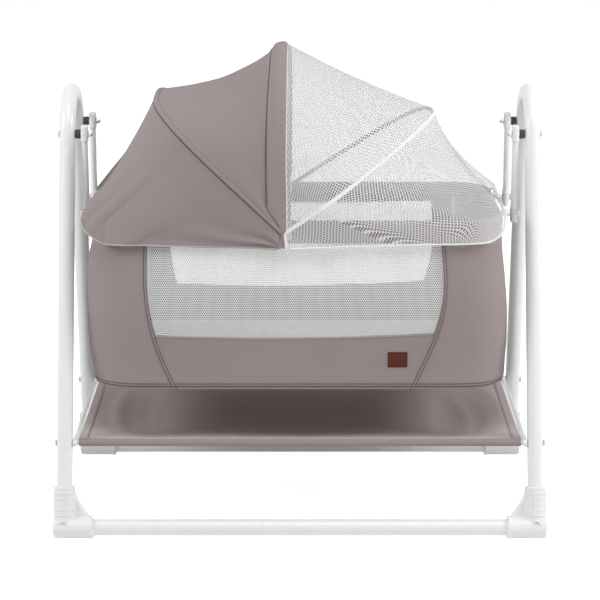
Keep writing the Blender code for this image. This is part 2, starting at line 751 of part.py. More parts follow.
def shelf_bolt_profile():
    """Head outside the leg, shank through leg and bar into the end of the rod."""
    head = SHELF_LEG_X + TUBE_RADIUS + CONTACT_GAP
    tip = SHELF_ROD_X - SHELF_BOLT_ENTRY
    return [
        (0, head + BOLT_HEAD_HEIGHT),
        (BOLT_HEAD_RADIUS * 0.8, head + BOLT_HEAD_HEIGHT),
        (BOLT_HEAD_RADIUS, head + BOLT_HEAD_HEIGHT * 0.6),
        (BOLT_HEAD_RADIUS, head),
        (THREAD_RADIUS, head),
        (THREAD_RADIUS, tip),
        (0, tip),
    ]


def bush_profile():
    """Barrel-shaped spacer bush between leg and arm, with its bore."""
    start = CAP_OUTER_X + CONTACT_GAP
    end = start + BUSH_LENGTH
    middle = (start + end) / 2
    bore = PIVOT_BOLT_RADIUS + CONTACT_GAP
    return [
        (bore, start),
        (BUSH_END_RADIUS, start),
        (BUSH_RADIUS, start + BUSH_LENGTH / 4),
        (BUSH_RADIUS, middle + BUSH_LENGTH / 4),
        (BUSH_END_RADIUS, end),
        (bore, end),
    ]


def place_four(suffix, profile, finish, height, y, holders, ring=False):
    """The same turned piece at all four corners, on the line of its bolt."""
    master = turned("master", profile, BOLT_SIDES, ring)
    for (edge, side), name in SIDE_NAMES.items():
        piece = copy_of(master, f"{name}_{suffix}")
        piece.location = (0, edge * y, height)
        piece.rotation_euler = (0, 0, 0 if side == RIGHT else math.pi)
        bpy.context.view_layer.update()
        finished(piece, finish, holders[(edge, side)])
    bpy.data.objects.remove(master, do_unlink=True)


# Shelf


def shelf(stand):
    for side, name in ((LEFT, "shelf_left_bar"), (RIGHT, "shelf_right_bar")):
        half_length = SHELF_Y + SHELF_BAR_OVERHANG
        half_height = SHELF_BAR_HEIGHT / 2
        outline = rounded_outline(half_length, half_height, half_height - CONTACT_GAP, 4)
        outline = [(u, SHELF_HEIGHT + v) for u, v in outline]
        start, end = sorted((side * SHELF_BAR_INNER_X, side * SHELF_BAR_OUTER_X))
        bar = prism(name, outline, start, end, "X")
        holes = []
        for edge in (FRONT, REAR):
            centre = (edge * SHELF_Y, SHELF_HEIGHT)
            ends = [(x, *centre) for x in (start - CUT_OVERRUN, end + CUT_OVERRUN)]
            holes.append(drill(THREAD_RADIUS, *ends))
        combine(bar, holes, "DIFFERENCE")
        finished(bar, "white_steel", stand)
    for edge, name in ((FRONT, "shelf_front_rod"), (REAR, "shelf_rear_rod")):
        ends = [(x, edge * SHELF_Y, SHELF_HEIGHT) for x in (-SHELF_ROD_X, SHELF_ROD_X)]
        rod = tube(name, ends, SHELF_ROD_RADIUS, 2, wall=SHELF_ROD_WALL)
        finished(rod, "white_steel", stand)
    shelf_cloth(stand)


def shelf_cloth(stand):
    """Sling with a sleeve sewn round each rod, sagging and softly folded between them."""
    inner = SHELF_ROD_RADIUS + CLOTH_GAP
    leave = math.pi / 2 - math.atan(2 * SHELF_SAG / SHELF_Y)
    sewn = leave - 1.5 * math.pi / 2
    wrap = arc((-SHELF_Y, SHELF_HEIGHT), inner, sewn + math.tau, leave, 7)
    half = abs(wrap[-1][0])
    level = wrap[-1][1]
    steps = 8
    length = SHELF_ROD_X - SHELF_CLOTH_END_GAP
    columns = 10
    grid = []
    for i in range(columns + 1):
        x = length * (2 * i / columns - 1)
        wave = math.cos(math.pi * SHELF_FOLDS * x / length)
        row = [(x, y, z) for y, z in wrap]
        for k in range(1, steps):
            share = 2 * k / steps - 1
            hang = 1 - share * share
            dip = SHELF_SAG * hang + SHELF_FOLD_DEPTH * wave * hang * hang
            row.append((x, half * share, level - dip))
        row += [(x, -y, z) for y, z in reversed(wrap)]
        grid.append(row)
    cloth = surface("shelf_cloth", grid, (0, 0, 1))
    thicken(cloth, SHELF_CLOTH_THICKNESS, 1)
    finished(cloth, "shelf_cloth", stand, 80)


# Basket


def ring_line(offset):
    """Outline of the top ring, grown outwards by an offset."""
    return rounded_outline(
        RING_HALF_LENGTH + offset,
        RING_HALF_WIDTH + offset,
        RING_CORNER_RADIUS + offset,
    )


def top_ring(basket):
    route = [(x, y, RING_HEIGHT) for x, y in ring_line(0)]
    ring = tube("basket_top_ring", route, RING_RADIUS, 2, wall=RING_WALL, closed=True)
    holes = []
    for side in (LEFT, RIGHT):
        for edge in (FRONT, REAR):
            start = (side * RING_HALF_LENGTH, edge * PIVOT_Y, RING_HEIGHT)
            end = (side * (RING_HALF_LENGTH + 2 * RING_RADIUS), edge * PIVOT_Y, RING_HEIGHT)
            holes.append(drill(THREAD_RADIUS, start, end))
    combine(ring, holes, "DIFFERENCE")
    finished(ring, "white_steel", basket)


def hoop(name, side, basket):
    """Bent tube under the ring that carries the board."""
    x = side * HOOP_PLACE
    top = RING_HEIGHT - RING_RADIUS - CONTACT_GAP
    bend_y = RING_HALF_WIDTH - HOOP_BEND_RADIUS
    centre = (-bend_y, HOOP_BASE + HOOP_BEND_RADIUS)
    bend = arc(centre, HOOP_BEND_RADIUS, math.pi, 1.5 * math.pi, 4)
    half = [(-RING_HALF_WIDTH, top), *bend]
    flat = half + [(-y, z) for y, z in reversed(half)]
    route = [(x, y, z) for y, z in flat]
    finished(tube(name, route, HOOP_RADIUS, 2, wall=HOOP_WALL), "white_steel", basket)


def base_board(basket):
    half_length = RING_HALF_LENGTH + BASKET_BOTTOM_OFFSET - BOARD_END_MARGIN
    half_width = RING_HALF_WIDTH - HOOP_BEND_RADIUS
    outline = rounded_outline(half_length, half_width, BOARD_CORNER_RADIUS, 4)
    board = prism("base_board", outline, BOARD_BASE, BOARD_BASE + BOARD_THICKNESS, "Z")
    finished(board, "board", basket)


def mattress(basket):
    """Pad with rounded edges, sides drawn in at mid-height and a crowned top."""
    inner_end = RING_HALF_LENGTH + BASKET_BOTTOM_OFFSET - CLOTH_THICKNESS
    half_length = inner_end - MATTRESS_END_MARGIN
    half_width = RING_HALF_WIDTH - HOOP_RADIUS - MATTRESS_SIDE_MARGIN
    r = MATTRESS_EDGE_RADIUS
    top = MATTRESS_BASE + MATTRESS_THICKNESS
    middle = MATTRESS_BASE + MATTRESS_THICKNESS / 2
    levels = [(-r + a, MATTRESS_BASE + r + b) for a, b in arc((0, 0), r, -math.pi / 2, 0, 3)]
    levels.append((-MATTRESS_PINCH, middle))
    levels += [(-r + a, top - r + b) for a, b in arc((0, 0), r, 0, math.pi / 2, 3)]
    inset = half_width - r
    for share in (0.35, 0.75):
        rise = MATTRESS_CROWN * (1 - (1 - share) ** 2)
        levels.append((-r - inset * share, top + rise))
    loops = []
    for grown, z in levels:
        radius = max(MATTRESS_CORNER_RADIUS + grown, r)
        outline = rounded_outline(half_length + grown, half_width + grown, radius, 4)
        loops.append([(x, y, z) for x, y in outline])
    finished(lofted("mattress", loops), "mattress_cloth", basket, 60)


def window_edges(height):
    """Left and right edge of the mesh window at a height."""
    share = (WINDOW_TOP - height) / (WINDOW_TOP - WINDOW_BOTTOM)
    taper = WINDOW_TAPER * share * share
    return WINDOW_LEFT + taper, WINDOW_RIGHT - taper


def window_heights(inset, steps=6):
    low, high = WINDOW_BOTTOM + inset, WINDOW_TOP - inset
    return [low + (high - low) * i / steps for i in range(steps + 1)]


def wall_patch(name, rows, edge, offset, thickness):
    """Panel that follows the long wall, from (left, right, height) rows."""
    grid = []
    for left, right, z in rows:
        y = edge * (RING_HALF_WIDTH + wall_offset(z) + offset)
        grid.append([(left, y, z), (right, y, z)])
    patch = surface(name, grid, (0, edge, 0))
    return thicken(patch, thickness, 1)


def basket_cloth(basket):
    """Cloth tub with a rolled rim round the ring and a window in both long walls."""
    levels = [(-RIM_OFFSET, RING_HEIGHT - RIM_FLAP_DEPTH)]
    levels += arc((0, RING_HEIGHT), RIM_OFFSET, math.pi, 0, 6)
    levels += list(zip(WALL_OFFSETS[1:-1], WALL_LEVELS[1:-1]))
    r = BASKET_EDGE_RADIUS
    levels += arc((BASKET_BOTTOM_OFFSET - r, WALL_FOOT), r, 0, -math.pi / 2, 3)
    loops = [[(x, y, z) for x, y in ring_line(grown)] for grown, z in levels]
    shape = bmesh.new()
    rows = [[shape.verts.new(point) for point in loop] for loop in loops]
    count = len(rows[0])
    for low, high in zip(rows, rows[1:]):
        for i in range(count):
            k = (i + 1) % count
            shape.faces.new((low[i], low[k], high[k], high[i]))
    shape.faces.new(rows[-1])
    tub = mesh_thing("basket_cloth", shape)
    face_out(tub)
    thicken(tub, CLOTH_THICKNESS, -1)
    cuts = []
    for edge in (FRONT, REAR):
        heights = window_heights(0)
        outline = [(window_edges(z)[0], z) for z in heights]
        outline += [(window_edges(z)[1], z) for z in reversed(heights)]
        near = edge * (RING_HALF_WIDTH - CUT_OVERRUN)
        far = edge * (RING_HALF_WIDTH + RING_CORNER_RADIUS)
        cuts.append(prism("window", outline, near, far, "Y"))
        for side in (LEFT, RIGHT):
            place = edge * PIVOT_Y, RING_HEIGHT
            start = (side * RING_HALF_LENGTH, *place)
            end = (side * (RING_HALF_LENGTH + RING_CORNER_RADIUS), *place)
            cuts.append(drill(SHOULDER_RADIUS, start, end))
    combine(tub, cuts, "DIFFERENCE")
    finished(tub, "taupe_cloth", basket, 50)


def face_out(thing):
    """Turns an open tub's faces so that its floor faces down."""
    shape = bmesh.new()
    shape.from_mesh(thing.data)
    shape.normal_update()
    floor = max(shape.faces, key=lambda face: face.calc_area())
    if floor.normal.z > 0:
        bmesh.ops.reverse_faces(shape, faces=shape.faces[:])
    shape.to_mesh(thing.data)
    shape.free()


def window_nets(basket):
    sunk = -(CLOTH_THICKNESS + NET_THICKNESS) / 2
    for edge, name in ((FRONT, "front_window_net"), (REAR, "rear_window_net")):
        rows = []
        for z in window_heights(CONTACT_GAP):
            left, right = window_edges(z)
            rows.append((left + CONTACT_GAP, right - CONTACT_GAP, z))
        net = wall_patch(name, rows, edge, sunk, NET_THICKNESS)
        finished(net, "white_net", basket)


def label_patch(basket):
    top = LABEL_BOTTOM + LABEL_HEIGHT
    bends = [z for z in reversed(WALL_LEVELS) if LABEL_BOTTOM < z < top]
    heights = [LABEL_BOTTOM, *bends, top]
    rows = [(LABEL_RIGHT - LABEL_WIDTH, LABEL_RIGHT, z) for z in heights]
    patch = wall_patch("label_patch", rows, FRONT, CONTACT_GAP, LABEL_THICKNESS)
    finished(patch, "tan_patch", basket)


# Canopy


def canopy_bracket(name, edge, basket):
    """Hook over the rim with a plate outside it and the pin that the bows turn on."""
    reach = HUB_PLATE_Y - RING_HALF_WIDTH
    low = HUB_HEIGHT - HUB_DROP
    hook = RING_HEIGHT - HUB_HOOK_DEPTH
    ring = (RING_HALF_WIDTH, RING_HEIGHT)
    outer = arc(ring, reach + HUB_PLATE_THICKNESS, 0, math.pi, 8)
    inner = arc(ring, reach, math.pi, 0, 8)
    outline = [(HUB_FACE_Y, low), *outer]
    outline += [(ring[0] - reach - HUB_PLATE_THICKNESS, hook), (ring[0] - reach, hook)]
    outline += [*inner, (HUB_PLATE_Y, low)]
    outline = [(edge * y, z) for y, z in outline]
    start, end = HUB_PLACE - HUB_HALF_WIDTH, HUB_PLACE + HUB_HALF_WIDTH
    bracket = prism(name, outline, start, end, "X")
    root = HUB_FACE_Y - HUB_PLATE_THICKNESS / 2
    pin = cylinder(
        "pin",
        HUB_PIN_RADIUS,
        (HUB_PLACE, edge * root, HUB_HEIGHT),
        (HUB_PLACE, edge * (HUB_HEAD_Y + HUB_HEAD_THICKNESS / 2), HUB_HEIGHT),
        EYE_SIDES,
    )
    head = cylinder(
        "head",
        HUB_HEAD_RADIUS,
        (HUB_PLACE, edge * HUB_HEAD_Y, HUB_HEIGHT),
        (HUB_PLACE, edge * (HUB_HEAD_Y + HUB_HEAD_THICKNESS), HUB_HEIGHT),
        EYE_SIDES,
    )
    combine(bracket, [pin, head], "UNION")
    finished(bracket, "white_plastic", basket, 35)


def arch(spread, height, fullness):
    """(across, up) points from the knee of a bow to its top, on a superellipse quarter."""
    points = []
    for i in range(8 * ARCH_STEPS + 1):
        turn = math.pi / 2 * i / (8 * ARCH_STEPS)
        across = max(math.cos(turn), 0) ** (2 / fullness)
        up = math.sin(turn) ** (2 / fullness)
        points.append((spread * across, BOW_LEG + (height - BOW_LEG) * up, 0))
    return [(point.x, point.y) for point in spaced(points, ARCH_STEPS + 1)]


def leg(foot, spread, low):
    """(across, up) points up a bow's leg, which widens smoothly once clear of the eyes."""
    points = [(foot, low)]
    start = BOW_EYE_RADIUS + 2 * BOW_RADIUS
    for i in range(LEG_STEPS - 1):
        share = i / (LEG_STEPS - 1)
        up = start + (BOW_LEG - start) * share
        points.append((foot + (spread - foot) * smooth_step(share), up))
    return points


def bow(name, basket_or_bow):
    """Bent rod with an eye on each end, built upright about its pin and then leaned."""
    front, rear = BOW_FULLNESS_SHARES[name]
    foot, height = BOW_FOOT_Y[name], BOW_HEIGHT[name]
    halves = []
    for fullness, edge in ((front, FRONT), (rear, REAR)):
        points = leg(foot, BOW_SPREAD, (BOW_EYE_RADIUS + HUB_PIN_RADIUS) / 2)
        points += arch(BOW_SPREAD, height, fullness)
        halves.append([(0, edge * y, z) for y, z in points])
    route = halves[0][:-1] + list(reversed(halves[1]))
    rod = tube(name + "_bow", route, BOW_RADIUS, 2)
    half = BOW_EYE_THICKNESS / 2
    eyes, bores = [], []
    for edge in (FRONT, REAR):
        ends = [(0, edge * (foot - half), 0), (0, edge * (foot + half), 0)]
        cuts = [(0, edge * (foot - 2 * half), 0), (0, edge * (foot + 2 * half), 0)]
        eyes.append(cylinder("eye", BOW_EYE_RADIUS, *ends, EYE_SIDES))
        bores.append(drill(HUB_PIN_RADIUS, *cuts, EYE_SIDES))
    combine(rod, eyes, "UNION")
    combine(rod, bores, "DIFFERENCE")
    rod.location = (HUB_PLACE, 0, HUB_HEIGHT)
    rod.rotation_euler = (0, math.radians(BOW_LEAN[name]), 0)
    bpy.context.view_layer.update()
    return finished(rod, "grey_steel", basket_or_bow)


def cover_line(name, shift, fan):
    """Line of the cover over a bow, from its foot in the front hem to the rear one."""
    grown = BOW_RADIUS + COVER_GAP
    lean = math.radians(BOW_LEAN[name])
    halves = []
    for fullness, edge in zip(BOW_FULLNESS_SHARES[name], (FRONT, REAR)):
        points = arch(BOW_SPREAD + grown, BOW_HEIGHT[name] + grown, fullness)
        line = [Vector((HUB_PLACE + shift + fan, edge * FAN_Y, HEM_LOW))]
        for k in range(1, LEG_STEPS):
            share = k / LEG_STEPS
            y = FAN_Y + (BOW_SPREAD + grown - FAN_Y) * share
            points.insert(k - 1, (y, BOW_LEG * (2 * share - 1) if share > 0.5 else 0))
        for y, up in points:
            x, z = HUB_PLACE + up * math.sin(lean), HUB_HEIGHT + up * math.cos(lean)
            line.append(Vector((x + shift, edge * y, z)))
        halves.append(line)
    return halves[0][:-1] + list(reversed(halves[1]))


def hem_line(side, start):
    """Line of the elastic hem round one half of the rim, raised over the arm bolts."""
    offset = RIM_OFFSET + HEM_STANDOFF
    half_length, half_width = RING_HALF_LENGTH + offset, RING_HALF_WIDTH + offset
    radius = RING_CORNER_RADIUS + offset
    inset = half_length - radius
    steps = 20
    run = []
    for i in range(steps):
        run.append((start + (side * inset - start) * i / steps, -half_width))
    for i in range(steps + 1):
        turn = math.pi / 2 * i / steps
        grown = radius + HEM_CORNER_BULGE * math.sin(2 * turn)
        x = side * (inset + grown * math.sin(turn))
        run.append((x, -(half_width - radius) - grown * math.cos(turn)))
    for i in range(1, steps + 1):
        run.append((side * half_length, -(half_width - radius) * (1 - i / steps)))
    placed = []
    for x, y in run:
        bulge = HEM_HUB_BULGE * math.exp(-(((x - HUB_PLACE) / HEM_HUB_REACH) ** 2))
        rise = smooth_step((HEM_NOTCH_HALF_WIDTH + HEM_NOTCH_BLEND + y) / HEM_NOTCH_BLEND)
        z = HEM_LOW + (HEM_HIGH - HEM_LOW) * rise
        placed.append((x, y - bulge, z))
    front = spaced(placed, ARCH_STEPS + LEG_STEPS + 1)
    return front[:-1] + [Vector((p.x, -p.y, p.z)) for p in reversed(front)]


def panel(first, last, columns, sag):
    """Columns of points from one line of the cover to the next, pulled in between."""
    result = []
    for k in range(columns + 1):
        share = k / columns
        column = []
        for a, b in zip(first, last):
            point = a.lerp(b, share)
            axis = Vector((HUB_PLACE, point.y, HUB_HEIGHT))
            away = point - axis
            pull = sag * 4 * share * (1 - share) * min(away.length / BOW_HEIGHT["middle"], 1)
            if away.length > sag:
                point = point - away.normalized() * pull
            column.append(point)
        result.append(column)
    return result


def rim_line(bow_line, hem):
    """Line on which the cover turns over the rim, each point beside a point of the hem.

    Beside a hem point, "out" is the way from the nearest point of the ring. Where the
    straight way from bow to hem passes further from the ring than the clearance, the line
    follows it, and elsewhere it lies at the clearance, square to the way up to the bow.
    """
    clear = RIM_OFFSET + COVER_RIM_CLEARANCE
    inset_x = RING_HALF_LENGTH - RING_CORNER_RADIUS
    inset_y = RING_HALF_WIDTH - RING_CORNER_RADIUS
    line = []
    for high, low in zip(bow_line, hem):
        centre = Vector((low.x, low.y, RING_HEIGHT))
        centre.x = min(max(centre.x, -inset_x), inset_x)
        centre.y = min(max(centre.y, -inset_y), inset_y)
        out = (Vector((low.x, low.y, RING_HEIGHT)) - centre).normalized()
        ring = centre + out * RING_CORNER_RADIUS
        inward = max((ring - high).dot(out), 0)
        turn = math.atan2(inward, max(high.z - RING_HEIGHT, MERGE_DISTANCE))
        square = out * math.cos(turn) + Vector((0, 0, math.sin(turn)))
        point, share = intersect_point_line(ring, high, low)
        point = high.lerp(low, min(max(share, 0.3), 0.8))
        if (point - ring).dot(square) < clear:
            point = ring + square * clear
        point.z = max(point.z, low.z + COVER_RIM_CLEARANCE)
        line.append(point)
    line[0], line[-1] = bow_line[0].lerp(hem[0], 0.5), bow_line[-1].lerp(hem[-1], 0.5)
    return line


def canopy_covers(left_bow, right_bow):
    """Cloth from the left hem to the middle bow, and net from there to the right hem."""
    for name, side, word, finish, holder in (
        ("canopy_cloth", LEFT, "left", "taupe_cloth", left_bow),
        ("canopy_net", RIGHT, "right", "white_net", right_bow),
    ):
        shift = side * COVER_SPLIT / 2
        middle = cover_line("middle", shift, 0)
        bow_line = cover_line(word, shift, side * FAN_WIDTH / 2)
        hem = hem_line(side, HUB_PLACE + shift + side * FAN_WIDTH)
        rim = rim_line(bow_line, hem)
        inner = panel(middle, bow_line, COVER_COLUMNS, COVER_SAG[word])
        outer = panel(bow_line, rim, COVER_COLUMNS - 1, COVER_SAG[word + "_end"])
        cover = surface(name, [*inner, *outer[1:], hem], (side, 0, 1))
        thicken(cover, COVER_THICKNESS, 1)
        finished(cover, finish, holder, 70)


def main():
    clear_scene()
    corners = list(SIDE_NAMES)
    stand = joint_empty("stand_frame", (0, 0, 0))
    arms = {
        key: joint_empty(
            SIDE_NAMES[key] + "_arm_pivot", (0, key[0] * PIVOT_Y, UPPER_PIVOT_HEIGHT), stand
        )
        for key in corners
    }
    basket = joint_empty("basket_pivot", (0, -PIVOT_Y, RING_HEIGHT), arms[(FRONT, LEFT)])

    end_frame("left_end_frame", LEFT, stand)
    end_frame("right_end_frame", RIGHT, stand)
    rail("front_rail", FRONT, stand)
    rail("rear_rail", REAR, stand)
    for edge, side in corners:
        corner_piece(edge, side, stand)
        arm(edge, side, arms[(edge, side)])
    on_stand = dict.fromkeys(corners, stand)
    on_basket = dict.fromkeys(corners, basket)
    height = UPPER_PIVOT_HEIGHT
    place_four("upper_bolt", upper_bolt_profile(), "zinc", height, PIVOT_Y, on_stand)
    place_four("upper_bush", bush_profile(), "black_plastic", height, PIVOT_Y, on_stand, True)
    place_four("lower_bolt", lower_bolt_profile(), "zinc", RING_HEIGHT, PIVOT_Y, on_basket)
    place_four("shelf_bolt", shelf_bolt_profile(), "zinc", SHELF_HEIGHT, SHELF_Y, on_stand)
    shelf(stand)

    top_ring(basket)
    hoop("left_hoop", LEFT, basket)
    hoop("right_hoop", RIGHT, basket)
    base_board(basket)
    mattress(basket)
    basket_cloth(basket)
    window_nets(basket)
    label_patch(basket)
    canopy_bracket("front_canopy_bracket", FRONT, basket)
    canopy_bracket("rear_canopy_bracket", REAR, basket)

    left_bow = bow("left", basket)
    middle_bow = bow("middle", left_bow)
    right_bow = bow("right", middle_bow)
    canopy_covers(left_bow, right_bow)


main()
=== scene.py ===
import bpy
import bmesh
import numpy as np
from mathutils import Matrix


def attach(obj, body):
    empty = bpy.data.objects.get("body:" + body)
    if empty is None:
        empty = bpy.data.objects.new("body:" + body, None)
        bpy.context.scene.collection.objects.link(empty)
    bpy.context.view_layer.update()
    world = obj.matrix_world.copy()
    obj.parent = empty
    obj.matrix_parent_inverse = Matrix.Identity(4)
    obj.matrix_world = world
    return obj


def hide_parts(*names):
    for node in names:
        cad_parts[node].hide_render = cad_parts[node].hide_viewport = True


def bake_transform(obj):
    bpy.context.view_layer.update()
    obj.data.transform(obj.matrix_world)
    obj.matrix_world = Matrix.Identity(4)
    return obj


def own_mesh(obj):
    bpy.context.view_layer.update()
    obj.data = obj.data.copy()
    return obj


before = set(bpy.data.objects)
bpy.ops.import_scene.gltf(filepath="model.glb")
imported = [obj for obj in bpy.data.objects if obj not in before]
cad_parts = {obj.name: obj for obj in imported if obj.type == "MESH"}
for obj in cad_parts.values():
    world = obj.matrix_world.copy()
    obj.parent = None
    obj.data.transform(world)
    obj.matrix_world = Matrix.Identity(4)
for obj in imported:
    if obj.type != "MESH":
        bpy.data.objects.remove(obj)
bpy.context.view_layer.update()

scene = bpy.context.scene
print("frame loaded:", len(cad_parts), "nodes")


# shapes: each is (points, quads, uv in metres)

def smooth01(t):
    t = np.clip(t, 0, 1)
    return t * t * (3 - 2 * t)


def unit(v):
    return v / np.maximum(np.linalg.norm(v, axis=-1, keepdims=True), 1e-12)


def summed(steps):
    # running totals that start at 0
    return np.concatenate([[0], np.cumsum(steps)])


def runLength(path):
    # distance gone along a path, at each of its points
    return summed(np.linalg.norm(np.diff(path, axis=0), axis=1))


def sampled(points, gone, at):
    # places on a path at the distances at, where gone is the distance at each of its points
    return np.stack([np.interp(at, gone, points[:, k]) for k in range(3)], -1)


def ringed(points, axis=0):
    # the first line again after the last one, to close a ring
    return np.concatenate([points, points.take([0], axis)], axis)


def squareTo(direction):
    # a direction and two more, all of length one and square to each other
    direction = unit(np.asarray(direction, float))
    first = unit(np.cross(direction, (0.3, 0.2, 1) if abs(direction[2]) < 0.9 else (1, 0, 0)))
    return direction, first, np.cross(direction, first)


def circled(a, first, second):
    # cos a * first + sin a * second
    return np.cos(a)[..., None] * first + np.sin(a)[..., None] * second


def cells(rows, columns):
    # the four corners of each cell in a grid of numbered points
    at = np.arange(rows * columns).reshape(rows, columns)
    return np.stack([at[:-1, :-1], at[:-1, 1:], at[1:, 1:], at[1:, :-1]], -1).reshape(-1, 4)


def eased(points, rounds, axis=0):
    # each inner point moves halfway to the middle of its neighbours, a few times over
    points = np.moveaxis(points.copy(), axis, 0)
    for _ in range(rounds):
        points[1:-1] = points[1:-1] / 2 + (points[:-2] + points[2:]) / 4
    return np.moveaxis(points, 0, axis)


def gridShape(points, closeColumns=False, uv=None):
    # every cell becomes a quad; uv runs by length along the middle row and column
    if closeColumns:
        points = ringed(points, 1)
    rows, columns = points.shape[:2]
    if uv is None:
        across, along = runLength(points[rows // 2]), runLength(points[:, columns // 2])
        uv = np.stack(np.broadcast_arrays(across[None, :], along[:, None]), -1)
    return points.reshape(-1, 3), cells(rows, columns), uv.reshape(-1, 2)


def cellNormals(points, quads):
    # each cell's normal, whose length is twice the cell's area
    at = points[quads]
    return np.cross(at[:, 2] - at[:, 0], at[:, 3] - at[:, 1])


def joinShapes(*shapes):
    starts = np.cumsum([0] + [len(s[0]) for s in shapes[:-1]])
    quads = np.concatenate([s[1] + start for s, start in zip(shapes, starts)])
    return np.concatenate([s[0] for s in shapes]), quads, np.concatenate([s[2] for s in shapes])


def mirrored(shape, x=1, y=1):
    # the same shape on another side; a single mirror turns its faces round, so their order turns too
    points, quads, uv = shape
    return points * (x, y, 1), quads[:, ::-1] if x * y < 0 else quads, uv


def loft(loops, capped=True):
    # closed loops of points joined one to the next; a cap is the end loop drawn in to its middle
    loops = np.asarray(loops, float)
    if capped:
        ends = [np.broadcast_to(loops[k].mean(0), loops[k].shape)[None] for k in (0, -1)]
        loops = np.concatenate([ends[0], loops, ends[1]])
    return gridShape(loops, closeColumns=True)


def tube(path, radius, sides=28, reference=(0, 1, 0), closed=False, flatten=1.0):
    # a circle carried along a path: point + radius * (cos a * side + sin a * lift), with side square to both
    # the path and the reference
    path, radius = np.asarray(path, float), np.broadcast_to(radius, len(path))
    tangent = np.gradient(path, axis=0)
    if closed:  # the path's last point is its first again
        tangent[[0, -1]] = path[1] - path[-2]
    tangent = unit(tangent)
    side = unit(np.cross(reference, tangent))
    lift = np.cross(tangent, side)
    a = np.linspace(0, 2 * np.pi, sides + 1)
    turn = np.cos(a)[:, None] * side[:, None] + flatten * np.sin(a)[:, None] * lift[:, None]
    rings = path[:, None] + radius[:, None, None] * turn
    uv = np.stack(np.broadcast_arrays(a[None, :] * radius[:, None], runLength(path)[:, None]), -1)
    if not closed:  # each end is drawn in to its middle
        ends = [np.broadcast_to(path[k], rings[:1].shape) for k in (0, -1)]
        rings = np.concatenate([ends[0], rings, ends[1]])
        uv = np.concatenate([uv[:1], uv, uv[-1:]])
    return gridShape(rings, uv=uv)


def turned(profile, start, direction, sides=32):
    # a (radius, along) profile turned about the line from start in a direction
    profile = np.asarray(profile, float)
    direction, first, second = squareTo(direction)
    around = circled(np.linspace(0, 2 * np.pi, sides, endpoint=False), first, second)
    points = np.asarray(start, float) + profile[:, None, 1:2] * direction + profile[:, None, 0:1] * around
    return gridShape(points, closeColumns=True)


def roundedOutline(halfX, halfY, radius, steps=8):
    # four quarter circles about the corner centres, counter-clockwise from the right side
    a = np.linspace(0, np.pi / 2, steps + 1)[None] + np.arange(4)[:, None] * np.pi / 2
    x = (halfX - radius) * np.array([1, -1, -1, 1])[:, None] + radius * np.cos(a)
    y = (halfY - radius) * np.array([1, 1, -1, -1])[:, None] + radius * np.sin(a)
    return np.stack([x, y], -1).reshape(-1, 2)


def strip(path, normal, width, rise, sink=0.0004, columns=9):
    # a raised band: side * w + normal * rise * (1 - |2w / width| ^ 4), its edges just under the cloth
    normal = np.broadcast_to(normal, path.shape)
    side = unit(np.cross(unit(np.gradient(path, axis=0)), normal))
    w = np.linspace(-1, 1, columns)
    height = (rise + sink) * (1 - np.abs(w) ** 4) - sink
    across = side[:, None] * (w * width / 2)[:, None]
    return gridShape(path[:, None] + across + normal[:, None] * height[:, None])


def stitches(path, normal, pitch, length, thickness, lift=0.0002):
    # one short thread loop every pitch along a path: a six-sided spindle, thickness * sqrt(1 - t * t) around
    normal = np.broadcast_to(normal, path.shape)
    gone = runLength(path)
    count = max(int(gone[-1] / pitch), 1)
    centre = (np.arange(count) + 0.5) * gone[-1] / count
    t = np.array([-1, -0.75, 0, 0.75, 1])
    at = centre[:, None] + t[None] * length / 2
    place, up = sampled(path, gone, at), unit(sampled(normal, gone, at))
    side = unit(np.cross(place[:, -1:] - place[:, :1], up))
    a = np.linspace(0, 2 * np.pi, 6, endpoint=False)
    radius = (thickness / 2 * np.sqrt(1 - 0.97 * t * t))[None, :, None, None]
    rings = place[:, :, None] + up[:, :, None] * lift + radius * circled(a, side[:, :, None], up[:, :, None])
    rings = ringed(rings, 2)
    each = rings.shape[1] * rings.shape[2]
    quads = (cells(*rings.shape[1:3])[None] + (np.arange(count) * each)[:, None, None]).reshape(-1, 4)
    return rings.reshape(-1, 3), quads, np.zeros((count * each, 2))


def hardware(radius, height, slot, start, direction, rings=14, sides=36):
    # a screw or bolt head seen from its end: a low dome over a disc, with the driver's slot pressed into it
    direction, first, second = squareTo(direction)
    r = np.linspace(0, 1, rings)[:, None]
    a = np.linspace(0, 2 * np.pi, sides, endpoint=False)[None]
    u, v = r * np.cos(a), r * np.sin(a)
    if slot == "cross":  # half the width of each arm, and their reach
        pressed = (np.minimum(np.abs(u), np.abs(v)) < 0.14) & (r < 0.62)
    else:  # a hexagon, by the distance of its sides from the middle
        pressed = np.maximum(np.abs(u), np.abs(u) / 2 + np.abs(v) * 0.866) < 0.46
    rise = height * (0.45 + 0.55 * np.sqrt(1 - 0.98 * r ** 4)) - np.where(pressed, height * 0.7, 0)
    top = start + direction * rise[..., None] + radius * (u[..., None] * first + v[..., None] * second)
    wall = start + radius * circled(a, first, second)
    return gridShape(np.concatenate([top, wall]), closeColumns=True)


# making pieces

def writeValues(mesh, label, values):
    # one number for each point, under a label that finishes and modifiers can read
    attribute = mesh.attributes.new(label, "FLOAT", "POINT")
    attribute.data.foreach_set("value", np.asarray(values, np.float32).ravel())


